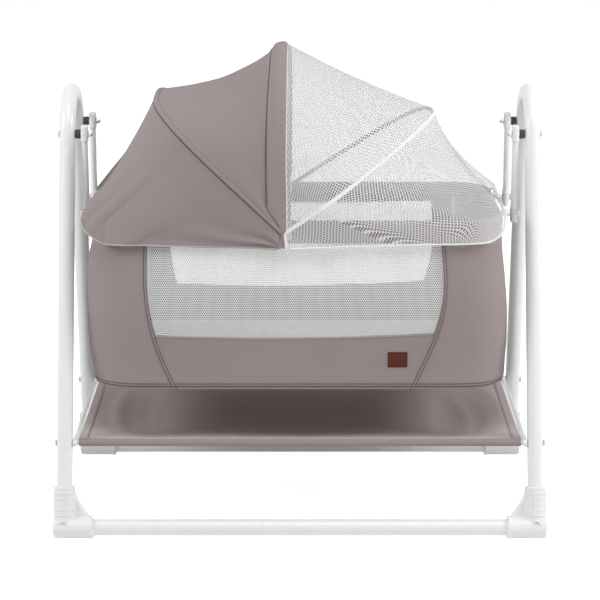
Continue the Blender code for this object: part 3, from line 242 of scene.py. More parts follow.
def makePiece(name, shape, finish=None, body=None, replaces=(), sharp=None, closed=True,
        marks=None, inside=None, wall=0.0, bend=None):
    # a finish brings its usual sharpness, which a call can overrule; its slot is looked up but not set
    points, quads, uv = shape
    usualSlot, usualSharp = kinds.get(finish, (None, 40))
    points = np.asarray(points, float)
    if inside is not None:  # an open sheet faces away from this point
        if (cellNormals(points, quads) * (points[quads].mean(1) - inside)).sum() < 0:
            quads = quads[:, ::-1]
    mesh = bpy.data.meshes.new(name)
    mesh.from_pydata(points.tolist(), [], quads.tolist())
    layer = mesh.uv_layers.new(name="UVMap")
    layer.data.foreach_set("uv", uv[quads.ravel()].ravel())
    for label, values in (("seam", marks), ("bend", bend)):
        if values is not None:
            writeValues(mesh, label, values)
    work = bmesh.new()
    work.from_mesh(mesh)
    bmesh.ops.remove_doubles(work, verts=work.verts[:], dist=0.000004)
    if closed and inside is None:
        bmesh.ops.recalc_face_normals(work, faces=work.faces[:])
    work.to_mesh(mesh)
    work.free()
    mesh.shade_smooth()
    mesh.set_sharp_from_angle(angle=np.radians(sharp or usualSharp))
    piece = bpy.data.objects.new(name, mesh)
    scene.collection.objects.link(piece)
    if finish:
        mesh.materials.append(finishes[finish])
    if wall:
        modifier = piece.modifiers.new("cloth thickness", "SOLIDIFY")
        modifier.thickness = wall
        modifier.offset = -1
    if body:
        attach(piece, body)
    if replaces:
        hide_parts(*replaces)
    return piece


def settled(piece, *modifiers):
    # adds the named modifiers, each (kind, settings), and keeps what they make as the mesh
    for kind, values in modifiers:
        modifier = piece.modifiers.new(kind, kind)
        for key, value in values.items():
            setattr(modifier, key, value)
    bpy.context.view_layer.update()
    graph = bpy.context.evaluated_depsgraph_get()
    mesh = bpy.data.meshes.new_from_object(piece.evaluated_get(graph))
    piece.modifiers.clear()
    piece.data = mesh
    return piece


def readPoints(piece):
    points = np.empty(len(piece.data.vertices) * 3)
    piece.data.vertices.foreach_get("co", points)
    return points.reshape(-1, 3)


def writePoints(piece, points):
    piece.data.vertices.foreach_set("co", np.ascontiguousarray(points).ravel())
    piece.data.update()


def cornerPoints(mesh):
    # the number of the point at each corner of each face
    at = np.empty(len(mesh.loops), int)
    mesh.loops.foreach_get("vertex_index", at)
    return at


def moulded(shape, voxel, rounds):
    # overlapping solids grown into one skin by a voxel remesh, its inner corners softened like a moulding
    trial = makePiece("moulding", shape)
    remesh = ("REMESH", {"mode": "VOXEL", "voxel_size": voxel})
    settled(trial, remesh, ("SMOOTH", {"iterations": rounds, "factor": 0.5}))
    points = readPoints(trial)
    quads = cornerPoints(trial.data)
    bpy.data.objects.remove(trial, do_unlink=True)
    return points, quads.reshape(-1, 4), points[:, :2].copy()


# shader node groups shared by the finishes

def addNode(tree, kind, inputs=None, **settings):
    node = tree.nodes.new(kind)
    for key, value in settings.items():
        setattr(node, key, value)
    for key, value in (inputs or {}).items():
        if isinstance(value, bpy.types.NodeSocket):
            tree.links.new(value, node.inputs[key])
        else:
            node.inputs[key].default_value = value
    return node


def maths(tree, operation, a, b=0.0, c=0.0):
    return addNode(tree, "ShaderNodeMath", {0: a, 1: b, 2: c}, operation=operation).outputs[0]


def noise(tree, place, scale, detail, output="Fac"):
    inputs = {"Vector": place, "Scale": scale, "Detail": detail}
    return addNode(tree, "ShaderNodeTexNoise", inputs).outputs[output]


def stepUp(tree, value, low, high):
    # 0 below low, 1 above high and a straight way between
    return addNode(tree, "ShaderNodeMapRange", {"Value": value, "From Min": low, "From Max": high}).outputs[0]


def vectorMaths(tree, operation, a, key, b):
    return addNode(tree, "ShaderNodeVectorMath", {0: a, key: b}, operation=operation).outputs[0]


def startGroup(name, inputs, *outputs):
    # a node group with coordinates, and numbers with their first values, going in and numbers coming out
    group = bpy.data.node_groups.new(name, "ShaderNodeTree")
    group.interface.new_socket("Coordinates", in_out="INPUT", socket_type="NodeSocketVector")
    for label, value in inputs.items():
        socket = group.interface.new_socket(label, in_out="INPUT", socket_type="NodeSocketFloat")
        socket.default_value = value
    for label in outputs:
        group.interface.new_socket(label, in_out="OUTPUT", socket_type="NodeSocketFloat")
    return group, group.nodes.new("NodeGroupInput").outputs, group.nodes.new("NodeGroupOutput").inputs


def plainWeaveGroup():
    # warp and weft threads: |sin| ridges along u and v, swapped over and under on a checker of crossings
    group, given, out = startGroup("plain weave", {"Threads per metre": 1400, "Slub": 0.3}, "Height", "Shade")
    drift = noise(group, given["Coordinates"], 90.0, 2.0)
    turns = maths(group, "MULTIPLY", given["Threads per metre"], np.pi)
    flat = addNode(group, "ShaderNodeSeparateXYZ", {0: given["Coordinates"]}).outputs
    wander = maths(group, "MULTIPLY", maths(group, "SUBTRACT", drift, 0.5), given["Slub"])
    warp = maths(group, "SINE", maths(group, "MULTIPLY_ADD", flat[0], turns, wander))
    weft = maths(group, "SINE", maths(group, "MULTIPLY_ADD", flat[1], turns, wander))
    over = maths(group, "GREATER_THAN", maths(group, "MULTIPLY", warp, weft), 0.0)
    warp, weft = maths(group, "ABSOLUTE", warp), maths(group, "ABSOLUTE", weft)
    height = maths(group, "MULTIPLY_ADD", over, maths(group, "SUBTRACT", warp, weft), weft)
    group.links.new(height, out["Height"])
    slub = noise(group, given["Coordinates"], 420.0, 3.0)
    shade = maths(group, "MULTIPLY_ADD", height, 0.35, maths(group, "MULTIPLY", slub, 0.65))
    group.links.new(shade, out["Shade"])
    return group


def openNetGroup():
    # staggered rows of round holes: every second row moves half a pitch, and a hole is what lies nearer than
    # Hole to its cell's middle
    inputs = {"Pitch": 0.004, "Hole": 0.3, "Wander": 0.001}
    group, given, out = startGroup("open net", inputs, "Thread", "Height")
    drift = noise(group, given["Coordinates"], 14.0, 1.0, "Color")
    drift = vectorMaths(group, "SUBTRACT", drift, 1, (0.5, 0.5, 0.5))
    drift = vectorMaths(group, "SCALE", drift, "Scale", given["Wander"])
    place = vectorMaths(group, "ADD", given["Coordinates"], 1, drift)
    flat = addNode(group, "ShaderNodeSeparateXYZ", {0: place}).outputs
    v = maths(group, "DIVIDE", maths(group, "DIVIDE", flat[1], given["Pitch"]), 0.866)
    row = maths(group, "FLOOR", v)
    shift = maths(group, "MULTIPLY", maths(group, "FLOORED_MODULO", row, 2.0), 0.5)
    u = maths(group, "ADD", maths(group, "DIVIDE", flat[0], given["Pitch"]), shift)
    cellU = maths(group, "SUBTRACT", maths(group, "FRACT", u), 0.5)
    cellV = maths(group, "MULTIPLY", maths(group, "SUBTRACT", maths(group, "FRACT", v), 0.5), 0.866)
    squares = maths(group, "ADD", maths(group, "MULTIPLY", cellU, cellU),
        maths(group, "MULTIPLY", cellV, cellV))
    away = maths(group, "SQRT", squares)
    edge = stepUp(group, maths(group, "SUBTRACT", away, given["Hole"]), -0.06, 0.06)
    group.links.new(edge, out["Thread"])
    group.links.new(maths(group, "MULTIPLY", away, edge), out["Height"])
    return group


def grainGroup():
    # two sizes of noise: Shade for slow changes of tone, Height for the fine skin of paint or plastic
    group, given, out = startGroup("surface grain", {"Coarse": 8, "Fine": 900}, "Shade", "Height")
    group.links.new(noise(group, given["Coordinates"], given["Coarse"], 4.0), out["Shade"])
    group.links.new(noise(group, given["Coordinates"], given["Fine"], 2.0), out["Height"])
    return group


def edgeWearGroup():
    # edges that hands and parts rub: pointiness above its middle value, broken up by noise
    group, given, out = startGroup("edge wear", {"Amount": 0.5}, "Mask")
    point = addNode(group, "ShaderNodeNewGeometry").outputs["Pointiness"]
    ridge = stepUp(group, point, 0.52, 0.60)
    patch = stepUp(group, noise(group, given["Coordinates"], 160.0, 3.0), 0.42, 0.62)
    mask = maths(group, "MULTIPLY", maths(group, "MULTIPLY", ridge, patch), given["Amount"])
    group.links.new(mask, out["Mask"])
    return group


plainWeave, openNet, surfaceGrain, edgeWear = plainWeaveGroup(), openNetGroup(), grainGroup(), edgeWearGroup()


# finishes

def startFinish(name, roughness, metallic=0.0, **sockets):
    finish = bpy.data.materials.new(name)
    finish.use_nodes = True
    tree = finish.node_tree
    shader = tree.nodes["Principled BSDF"]
    shader.inputs["Roughness"].default_value = roughness
    shader.inputs["Metallic"].default_value = metallic
    for key, value in sockets.items():
        shader.inputs[key.replace("_", " ")].default_value = value
    return finish, tree, shader


def useGroup(tree, group, inputs):
    return addNode(tree, "ShaderNodeGroup", inputs, node_tree=group).outputs


def tone(tree, factor, dark, light):
    # a colour between two, by a factor
    mix = addNode(tree, "ShaderNodeMix", {"Factor": factor}, data_type="RGBA")
    for socket, value in zip([s for s in mix.inputs if s.type == "RGBA"], (dark, light)):
        if isinstance(value, bpy.types.NodeSocket):
            tree.links.new(value, socket)
        else:
            socket.default_value = (*value, 1)
    return [s for s in mix.outputs if s.type == "RGBA"][0]


def scaled(colour, by):
    return tuple(min(c * by, 1) for c in colour)


def seamsAndShade(tree, shader, base, dark):
    # the base colour, and the dark one where the piece's seam value is 1; the value marks dark seams, and
    # painted shade on the shelf's sleeves and hem seams
    seam = addNode(tree, "ShaderNodeAttribute", None, attribute_name="seam").outputs["Fac"]
    tree.links.new(tone(tree, seam, base, dark), shader.inputs["Base Color"])


def bumped(tree, shader, height, strength, distance=0.0004):
    bump = addNode(tree, "ShaderNodeBump", {"Strength": strength, "Distance": distance, "Height": height})
    tree.links.new(bump.outputs[0], shader.inputs["Normal"])


def clothFinish(name, colour, light, threads, darkSeamAndShade=0.5, relief=0.22, roughness=0.9):
    finish, tree, shader = startFinish(name, roughness, Sheen_Weight=0.12, Sheen_Roughness=0.5,
        Specular_IOR_Level=0.2)
    places = addNode(tree, "ShaderNodeTexCoord").outputs
    weave = useGroup(tree, plainWeave, {"Coordinates": places["UV"], "Threads per metre": threads,
        "Slub": 1.2})
    grain = useGroup(tree, surfaceGrain, {"Coordinates": places["Object"], "Coarse": 5.0, "Fine": 260.0})
    factor = maths(tree, "MULTIPLY_ADD", weave["Shade"], 0.6, maths(tree, "MULTIPLY", grain["Shade"], 0.4))
    seamsAndShade(tree, shader, tone(tree, factor, colour, light), scaled(colour, darkSeamAndShade))
    rough = maths(tree, "MULTIPLY_ADD", grain["Height"], 0.16, roughness - 0.08)
    tree.links.new(rough, shader.inputs["Roughness"])
    bumped(tree, shader, maths(tree, "MULTIPLY_ADD", grain["Height"], 0.5, weave["Height"]), relief)
    return finish


def netFinish(name, colour, pitch, hole, wander):
    finish, tree, shader = startFinish(name, 0.7, Specular_IOR_Level=0.25, Sheen_Weight=0.1)
    places = addNode(tree, "ShaderNodeTexCoord").outputs
    net = useGroup(tree, openNet, {"Coordinates": places["UV"], "Pitch": pitch, "Hole": hole,
        "Wander": wander})
    grain = useGroup(tree, surfaceGrain, {"Coordinates": places["Object"], "Coarse": 7.0, "Fine": 700.0})
    tree.links.new(tone(tree, grain["Shade"], scaled(colour, 0.93), colour), shader.inputs["Base Color"])
    tree.links.new(net["Thread"], shader.inputs["Alpha"])
    bumped(tree, shader, maths(tree, "MULTIPLY_ADD", grain["Height"], 0.2, net["Height"]), 0.4, 0.0006)
    return finish


def hardFinish(name, colour, worn, roughness, metallic=0.0, coarse=6.0, fine=900.0, relief=0.06, wear=0.5,
        spread=0.05, **sockets):
    finish, tree, shader = startFinish(name, roughness, metallic, **sockets)
    place = addNode(tree, "ShaderNodeTexCoord").outputs["Object"]
    grain = useGroup(tree, surfaceGrain, {"Coordinates": place, "Coarse": coarse, "Fine": fine})
    rubbed = useGroup(tree, edgeWear, {"Coordinates": place, "Amount": wear})
    base = tone(tree, grain["Shade"], scaled(colour, 1 - spread), scaled(colour, 1 + spread))
    tree.links.new(tone(tree, rubbed["Mask"], base, worn), shader.inputs["Base Color"])
    rough = maths(tree, "MULTIPLY_ADD", grain["Shade"], 0.2, roughness - 0.1)
    tree.links.new(rough, shader.inputs["Roughness"])
    bumped(tree, shader, grain["Height"], relief)
    return finish


def leatherFinish(name, dark, light):
    # pebbled grain from cell distances, with a darker tone in the creases between the pebbles
    finish, tree, shader = startFinish(name, 0.68, Specular_IOR_Level=0.12)
    place = addNode(tree, "ShaderNodeTexCoord").outputs["Object"]
    pebbles = addNode(tree, "ShaderNodeTexVoronoi", {"Vector": place, "Scale": 900.0}).outputs["Distance"]
    grain = useGroup(tree, surfaceGrain, {"Coordinates": place, "Coarse": 60.0, "Fine": 1500.0})
    factor = maths(tree, "MULTIPLY_ADD", pebbles, -0.5, grain["Shade"])
    seamsAndShade(tree, shader, tone(tree, factor, dark, light), scaled(dark, 0.45))
    bumped(tree, shader, maths(tree, "MULTIPLY_ADD", grain["Height"], 0.4, pebbles), 0.35)
    return finish


finishes = {
    "whiteSteel": hardFinish("white powder coat", (0.80, 0.81, 0.82), (0.66, 0.66, 0.65), 0.30, fine=1300.0,
        relief=0.05, wear=0.15, spread=0.012, Coat_Weight=0.2, Coat_Roughness=0.2),
    "whitePlastic": hardFinish("white moulded plastic", (0.80, 0.80, 0.79), (0.86, 0.86, 0.85), 0.46,
        fine=1700.0, relief=0.10, wear=0.35, spread=0.02),
    "zinc": hardFinish("zinc plated steel", (0.52, 0.52, 0.53), (0.72, 0.72, 0.72), 0.36, 1.0, coarse=120.0,
        relief=0.10, spread=0.12),
    "blackPlastic": hardFinish("black nylon", (0.022, 0.022, 0.025), (0.09, 0.09, 0.09), 0.48, fine=1200.0,
        relief=0.15, spread=0.2),
    "greySteel": hardFinish("grey spring steel", (0.42, 0.42, 0.43), (0.6, 0.6, 0.6), 0.40, 1.0, coarse=60.0,
        spread=0.1),
    "taupeCloth": clothFinish("taupe polyester", (0.268, 0.222, 0.216), (0.350, 0.294, 0.287), 1300.0),
    # the shelf's cloth is the basket's taupe painted lighter, standing in for light on the shelf
    "litShelfCloth": clothFinish("taupe shelf cloth, painted lighter", (0.445, 0.375, 0.367), (0.560, 0.478, 0.470), 1150.0),
    # the thread is painted far darker than the cloth: real stitches, and painted shade of the seam grooves
    # they lie in
    "thread": clothFinish("dark thread and painted seam shade", (0.065, 0.052, 0.050), (0.11, 0.090, 0.087), 2600.0),
    "elastic": clothFinish("pale elastic edge", (0.38, 0.34, 0.33), (0.52, 0.48, 0.47), 1900.0),
    "whiteTape": clothFinish("white cotton tape", (0.76, 0.76, 0.77), (0.84, 0.84, 0.85), 1500.0, 0.8),
    # the front window net is the rear one's net painted lighter, standing in for light on it
    "litWindowNet": netFinish("white window net, painted lighter", (0.92, 0.91, 0.91), 0.0046, 0.345, 0.0012),
    "rearWindowNet": netFinish("white rear window net", (0.78, 0.77, 0.77), 0.0030, 0.33, 0.0012),
    "canopyNet": netFinish("white canopy net", (0.775, 0.765, 0.765), 0.0062, 0.355, 0.004),
    "mattressCloth": clothFinish("white quilted cotton", (0.78, 0.775, 0.77), (0.88, 0.875, 0.87), 900.0,
        0.75, 0.3),
    "board": hardFinish("base board", (0.42, 0.31, 0.21), (0.5, 0.38, 0.26), 0.75, coarse=30.0, fine=400.0,
        relief=0.2, spread=0.2),
    "leather": leatherFinish("bare tan leather patch", (0.085, 0.022, 0.013), (0.150, 0.042, 0.024)),
}
# for each finish the slot it fills, and the angle in degrees past which an edge stays sharp
kinds = {
    "whiteSteel": ("white_steel", 40), "whitePlastic": ("white_plastic", 50), "zinc": ("zinc", 35),
    "blackPlastic": ("black_plastic", 50), "greySteel": ("grey_steel", 50), "leather": ("tan_patch", 60),
    "taupeCloth": ("taupe_cloth", 180), "litShelfCloth": ("shelf_cloth", 180), "thread": ("taupe_cloth", 180),
    "elastic": ("taupe_cloth", 180), "whiteTape": ("white_net", 180), "litWindowNet": ("white_net", 180),
    "rearWindowNet": ("white_net", 180), "canopyNet": ("white_net", 180), "mattressCloth": (None, 180),
}
print("finishes ready:", len(finishes))


def dress(names, finish):
    # a CAD node that stays shown takes a finish in place of its plain colour
    for name in names:
        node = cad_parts[name]
        node.data.materials.clear()
        node.data.materials.append(finishes[finish])


# each seam's stitches: pitch, length and thickness
sewing = {
    "shelf": (0.0034, 0.0027, 0.0007),
    # the basket's stitches are thicker, so that their dark thread also paints the shade of the seam grooves
    "basket": (0.0030, 0.0029, 0.0014),
    "window": (0.0032, 0.0026, 0.0006),
    "label": (0.0026, 0.0021, 0.0006),
}


# stand

stand = {"halfSpacing": 0.512, "toeIn": 0.007, "railY": 0.300, "railZ": 0.023, "top": 0.932, "bend": 0.096,
    "tube": 0.0175, "legEnd": 0.010, "lean": 0.24738, "railHalf": 0.490}
corner = {"sleeve": 0.0223, "railSleeve": 0.0230, "under": 0.006, "height": 0.1092, "inner": 0.449,
    "outer": 0.5352, "webHalf": 0.0062, "webLow": 0.030, "webTop": 0.109, "webOuter": 0.516, "webFree": 0.489,
    "webDip": 0.036, "voxel": 0.0019, "bossZ": 0.036, "boss": 0.0086, "bossRise": 0.0246, "ribRise": 0.0016,
    "ribs": (0.0945, 0.083, 0.0715, 0.060, 0.0485), "lines": (0.047, 0.1005), "turn": -0.19}


# each corner's name, its side in x and its edge in y
corners = (("front_left", -1, -1), ("front_right", 1, -1), ("rear_left", -1, 1), ("rear_right", 1, 1))


def legY(z):
    return stand["railY"] - (z - stand["railZ"]) * stand["lean"]


def legX(z):
    return stand["halfSpacing"] - stand["toeIn"] * (z - stand["railZ"]) / (stand["top"] - stand["railZ"])


def makeEndFrame(name, side):
    # two straight legs and, over them, an arc about (0, top - bend) from one leg's direction to the other's
    slope = np.arctan(stand["lean"])
    a = np.linspace(np.pi - slope, slope, 49)
    y, z = stand["bend"] * np.cos(a), stand["top"] - stand["bend"] + stand["bend"] * np.sin(a)
    up = np.linspace(0, 1, 24, endpoint=False)
    foot = legY(stand["legEnd"])
    legRise = stand["legEnd"] + (z[0] - stand["legEnd"]) * up
    y = np.concatenate([-foot + (y[0] + foot) * up, y, (foot - (foot + y[0]) * up)[::-1]])
    z = np.concatenate([legRise, z, legRise[::-1]])
    path = np.stack([side * legX(z), y, z], -1)
    makePiece(name + "_tube", tube(path, stand["tube"], 48, (1, 0, 0)), "whiteSteel", "stand", [name])


def makeRail(name, edge):
    x = np.linspace(-stand["railHalf"], stand["railHalf"], 25)
    path = np.stack([x, np.full_like(x, edge * stand["railY"]), np.full_like(x, stand["railZ"])], -1)
    makePiece(name + "_tube", tube(path, stand["tube"], 48), "whiteSteel", "stand", [name])


def cornerShape():
    # front left corner: sleeves and a web with the free edge x = webFree - webDip * t ^ 1.7, t falling
    # upwards, grown into one moulding, then ribs, a boss and a screw
    under = corner["under"]
    base, top = (np.array([-legX(z), -legY(z), z]) for z in (-under, corner["height"]))
    way, length = unit(top - base), np.linalg.norm(top - base)
    perHeight = length / (corner["height"] + under)
    r, c = corner["sleeve"], corner["railSleeve"]
    sleeve = [(0, 0.014), (r - 0.009, 0.0145), (r - 0.004, 0.0165), (r - 0.001, 0.0205), (r, 0.026)]
    sleeve += [(r, length - 0.0065), (r + 0.0013, length - 0.0055), (r + 0.0013, length - 0.001), (r, length)]
    sleeve = turned([*sleeve, (0, length)], base, way, 64)
    inner, outer = corner["inner"], corner["outer"]
    a = np.linspace(0, np.pi / 2, 6)
    end = [(c - 0.004 + 0.004 * np.cos(t), outer - inner - 0.004 + 0.004 * np.sin(t)) for t in a]
    railSleeve = [(0, 0), (c + 0.001, 0), (c + 0.0014, 0.001), (c + 0.0014, 0.0058), (c, 0.007), *end]
    start = (-inner, -stand["railY"], stand["railZ"])
    railSleeve = turned([*railSleeve, (0, outer - inner)], start, (-1, 0, 0), 64)
    z = np.linspace(corner["webLow"], corner["webTop"], 40)
    free = corner["webFree"] - corner["webDip"] * ((corner["webTop"] - z) / 0.066).clip(0, 1) ** 1.7
    outline = roundedOutline(1, corner["webHalf"], 0.0045, 5)
    loops = np.empty((len(z), len(outline), 3))
    half = (corner["webOuter"] - free) / 2
    reach = half[:, None] - (1 - np.abs(outline[:, 0]))
    loops[..., 0] = -(free + half)[:, None] - np.sign(outline[:, 0]) * reach
    loops[..., 1] = -legY(z)[:, None] + outline[:, 1]
    loops[..., 2] = z[:, None]
    skin, quads, uv = moulded(joinShapes(sleeve, railSleeve, loft(loops)), corner["voxel"], 5)
    skin[:, 2] = skin[:, 2].clip(0, None)
    ribs, t = [], np.linspace(-1, 1, 7)
    for height in corner["ribs"]:
        rise = (corner["ribRise"] + 0.002) * np.sqrt(1 - 0.98 * t ** 4) - 0.002
        band = np.stack([r + rise, (height + under) * perHeight + 0.0010 * t], -1)
        ribs.append(turned(band, base, way, 64))
    first = unit(np.cross((0, -1, 0), way))
    for turn in corner["turn"] + np.array([0, 1, -1]) * np.pi / 2:
        out = circled(turn, np.cross(way, first), first)
        at = np.linspace(*corner["lines"], 20)[:, None] + under
        line = base + way * at * perHeight + out * (r - 0.0003)
        ribs.append(tube(line, 0.0017, 10, (0.1, 0.3, 0.1), flatten=0.9))
    boss = np.array([-legX(corner["bossZ"]), -legY(corner["bossZ"]), corner["bossZ"]])
    b, rise, front = corner["boss"], corner["bossRise"], (0, -1, 0)
    deep = rise - 0.0035
    ring = [(0, deep), (0.0056, deep), (0.0058, rise - 0.0006), (0.0063, rise)]
    ring = turned([*ring, (b - 0.0008, rise), (b, rise - 0.0008), (b + 0.0004, 0.010)], boss, front, 40)
    screw = hardware(0.0042, 0.0018, "cross", boss + np.array(front) * deep, front)
    return joinShapes((skin, quads, uv), *ribs, ring), screw


def makeStand():
    makeEndFrame("left_end_frame", -1)
    makeEndFrame("right_end_frame", 1)
    makeRail("front_rail", -1)
    makeRail("rear_rail", 1)
    body, screw = cornerShape()
    for name, side, edge in corners:
        moulding, head = mirrored(body, -side, -edge), mirrored(screw, -side, -edge)
        makePiece(name + "_moulded_corner", moulding, "whitePlastic", "stand", [name + "_corner"])
        behind = (side * legX(corner["bossZ"]), edge * 0.2, corner["bossZ"])
        makePiece(name + "_corner_screw", head, "zinc", "stand", sharp=30, inside=behind)
    print("stand built")


# arms, bushes and bolts

hanger = {"x": 0.4685, "y": 0.0949, "upper": 0.852, "lower": 0.677, "over": 0.0155, "thick": 0.0065,
    "wide": 0.014, "cap": 0.0015, "skirt": 0.0307, "roof": 0.0033, "edge": 0.0026}
# places along x, alike at both sides, and each bolt's shaft as its steps: radius, start and end
bolts = {"head": 0.0068, "upperHead": 0.5229, "lowerHead": 0.4768, "shelfHead": 0.5284, "nut": 0.4602,
    "bush": 0.4768, "upperRod": [(0.004, 0.4600, 0.5232)], "shelfRod": [(0.003, 0.4680, 0.5290)],
    "lowerRod": [(0.004, 0.4600, 0.4770), (0.006, 0.4383, 0.4602), (0.003, 0.4325, 0.4385)]}


def ovalLoops(levels, x, y):
    # flat oval loops at (height, grown) levels
    loops = []
    for z, grown in levels:
        thick = hanger["thick"] + grown
        outline = roundedOutline(thick, hanger["wide"] + grown, thick - 0.0003, 8)
        loops.append(np.column_stack([x + outline[:, 0], y + outline[:, 1], np.full(len(outline), z)]))
    return loops


def makeArm(name, x, y):
    body = name + "_hanger"
    low, high = hanger["lower"] - hanger["over"], hanger["upper"] + hanger["over"]
    bar = loft(ovalLoops([(z, 0) for z in np.linspace(low, high, 12)], x, y))
    makePiece(name + "_arm_bar", bar, "whiteSteel", body, [name + "_arm"])
    for word, end, way in (("upper", high, 1), ("lower", low, -1)):
        skirt, roof, wall = end - way * hanger["skirt"], end + way * hanger["roof"], hanger["cap"]
        thin, r = wall - 0.0006, hanger["edge"]
        levels = [(skirt, wall - 0.0007), (skirt + way * 0.0005, wall - 0.0001), (skirt + way * 0.0045, wall)]
        levels += [(skirt + way * 0.005, thin), (roof - way * 0.003, thin)]
        a = np.linspace(0, np.pi / 2, 6)
        levels += [(roof - way * r * (1 - np.sin(t)), thin - r * (1 - np.cos(t))) for t in a]
        ringX = x + np.sign(x) * (hanger["thick"] + wall - 0.0018)
        centre = end - way * hanger["over"]
        washer = [(0, 0), (0.0098, 0), (0.0098, 0.0009), (0.0092, 0.0015), (0, 0.0015)]
        washer = turned(washer, (ringX, y, centre), (np.sign(x), 0, 0))
        cap = joinShapes(loft(ovalLoops(levels, x, y)), washer)
        makePiece(f"{name}_{word}_cap_moulding", cap, "whitePlastic", body, [f"{name}_{word}_cap"])


def boltShapes(side, y, z, head, rods):
    # a domed head with a hexagon socket that stands out from x = head, and its rods as plain cylinders
    r, out = bolts["head"], (side, 0, 0)
    rim = turned([(0.003, 0), (r - 0.0002, 0), (r, 0.0003), (r, 0.0012)], (side * head, y, z), out, 36)
    dome = hardware(r, 0.0034, "hex", (side * head + side * 0.0010, y, z), out)
    shafts = []
    for radius, start, end in rods:
        profile = [(0, 0), (radius, 0), (radius, end - start), (0, end - start)]
        shafts.append(turned(profile, (side * start, y, z), out, 20))
    return rim, dome, *shafts


def makeBolts(name, side, edge):
    # the upper bolt with its dome nut and spacer bush, the lower bolt and the shelf's
    y, z, nut = edge * hanger["y"], hanger["upper"], bolts["nut"]
    hexagon = [(0, 0), (0.0064, 0), (0.0068, 0.0007), (0.0068, 0.0052), (0.0062, 0.006), (0, 0.006)]
    dome = [(0.0046 * np.cos(t), 0.0055 + 0.0040 * np.sin(t)) for t in np.linspace(0, np.pi / 2, 9)]
    collar = [(0, 0), (0.0078, 0), (0.0078, 0.0009), (0, 0.0009)]
    profiles = ((hexagon, 6), (dome, 32), (collar, 32))
    ends = [turned(profile, (side * nut, y, z), (-side, 0, 0), sides) for profile, sides in profiles]
    shape = joinShapes(*boltShapes(side, y, z, bolts["upperHead"], bolts["upperRod"]), *ends)
    makePiece(name + "_upper_pivot", shape, "zinc", "stand", [name + "_upper_bolt"])
    t = np.linspace(-1, 1, 13)
    barrel = [(0.0085 + 0.0015 * (1 - v ** 4), 0.0055 + 0.0055 * v) for v in t]
    bush = turned([(0.004, 0), *barrel, (0.004, 0.011)], (side * bolts["bush"], y, z), (side, 0, 0), 48)
    makePiece(name + "_spacer_bush", bush, "blackPlastic", "stand", [name + "_upper_bush"])
    shape = joinShapes(*boltShapes(side, y, hanger["lower"], bolts["lowerHead"], bolts["lowerRod"]))
    makePiece(name + "_lower_pivot", shape, "zinc", "basket", [name + "_lower_bolt"])
    z = shelf["z"]
    shape = joinShapes(*boltShapes(side, edge * legY(z), z, bolts["shelfHead"], bolts["shelfRod"]))
    makePiece(name + "_shelf_fastener", shape, "zinc", "stand", [name + "_shelf_bolt"])


def makeArms():
    for name, side, edge in corners:
        makeArm(name, side * hanger["x"], edge * hanger["y"])
        makeBolts(name, side, edge)
    print("arms and fasteners built")


# shelf

shelf = {"z": 0.201, "rod": 0.0055, "inner": 0.0061, "half": 0.4795, "sag": 0.030, "fold": 0.006,
    "wall": 0.0014, "barX": (0.4838, 0.4928), "barHalf": 0.008, "rodHalf": 0.4835, "hem": 0.0165,
    "taut": 0.17, "columns": 260, "rows": 90, "sleeveRows": 26, "crease": (0.0021, 0.0009),
    "pucker": (0.0006, 0.0005), "ruck": 0.0005, "threadLift": 0.0006, "tautEnd": 0.10, "creaseReach": 0.13,
    "hemRise": 0.0007, "hemStep": 0.0025, "seamWidth": 0.0012, "sleeveShade": 0.75, "hemSeamShade": 0.8,
    "puckerReach": 0.05}
# radians in each metre of the shelf's cloth: creases at its ends, puckers and rucks along its sleeves
shelfWaves = {"creases": (80, 143), "puckers": (410, 233), "rucks": (260, 37)}


def makeShelfBars():
    y = legY(shelf["z"])
    for word, side in (("left", -1), ("right", 1)):
        low, high = shelf["barX"]
        loops = []
        rounding = ((0, 0.0012), (0.0004, 0.0004), (0.0012, 0))  # way in from a face and inset of the outline
        steps = [(low + way, inset) for way, inset in rounding]
        steps += [(high - way, inset) for way, inset in rounding[::-1]]
        for x, inset in steps:
            half = shelf["barHalf"] - inset
            outline = roundedOutline(y + 0.012 - inset, half, half - 0.0003, 10)
            across = np.full(len(outline), side * x)
            loops.append(np.column_stack([across, outline[:, 0], shelf["z"] + outline[:, 1]]))
        bar = loft(loops)
        makePiece(f"shelf_{word}_flat_bar", bar, "whiteSteel", "stand", [f"shelf_{word}_bar"], sharp=50)
    for word, edge in (("front", -1), ("rear", 1)):
        x = np.linspace(-shelf["rodHalf"], shelf["rodHalf"], 9)
        path = np.stack([x, np.full_like(x, edge * y), np.full_like(x, shelf["z"])], -1)
        rod = tube(path, shelf["rod"], 24)
        makePiece(f"shelf_{word}_round_rod", rod, "whiteSteel", "stand", [f"shelf_{word}_rod"])


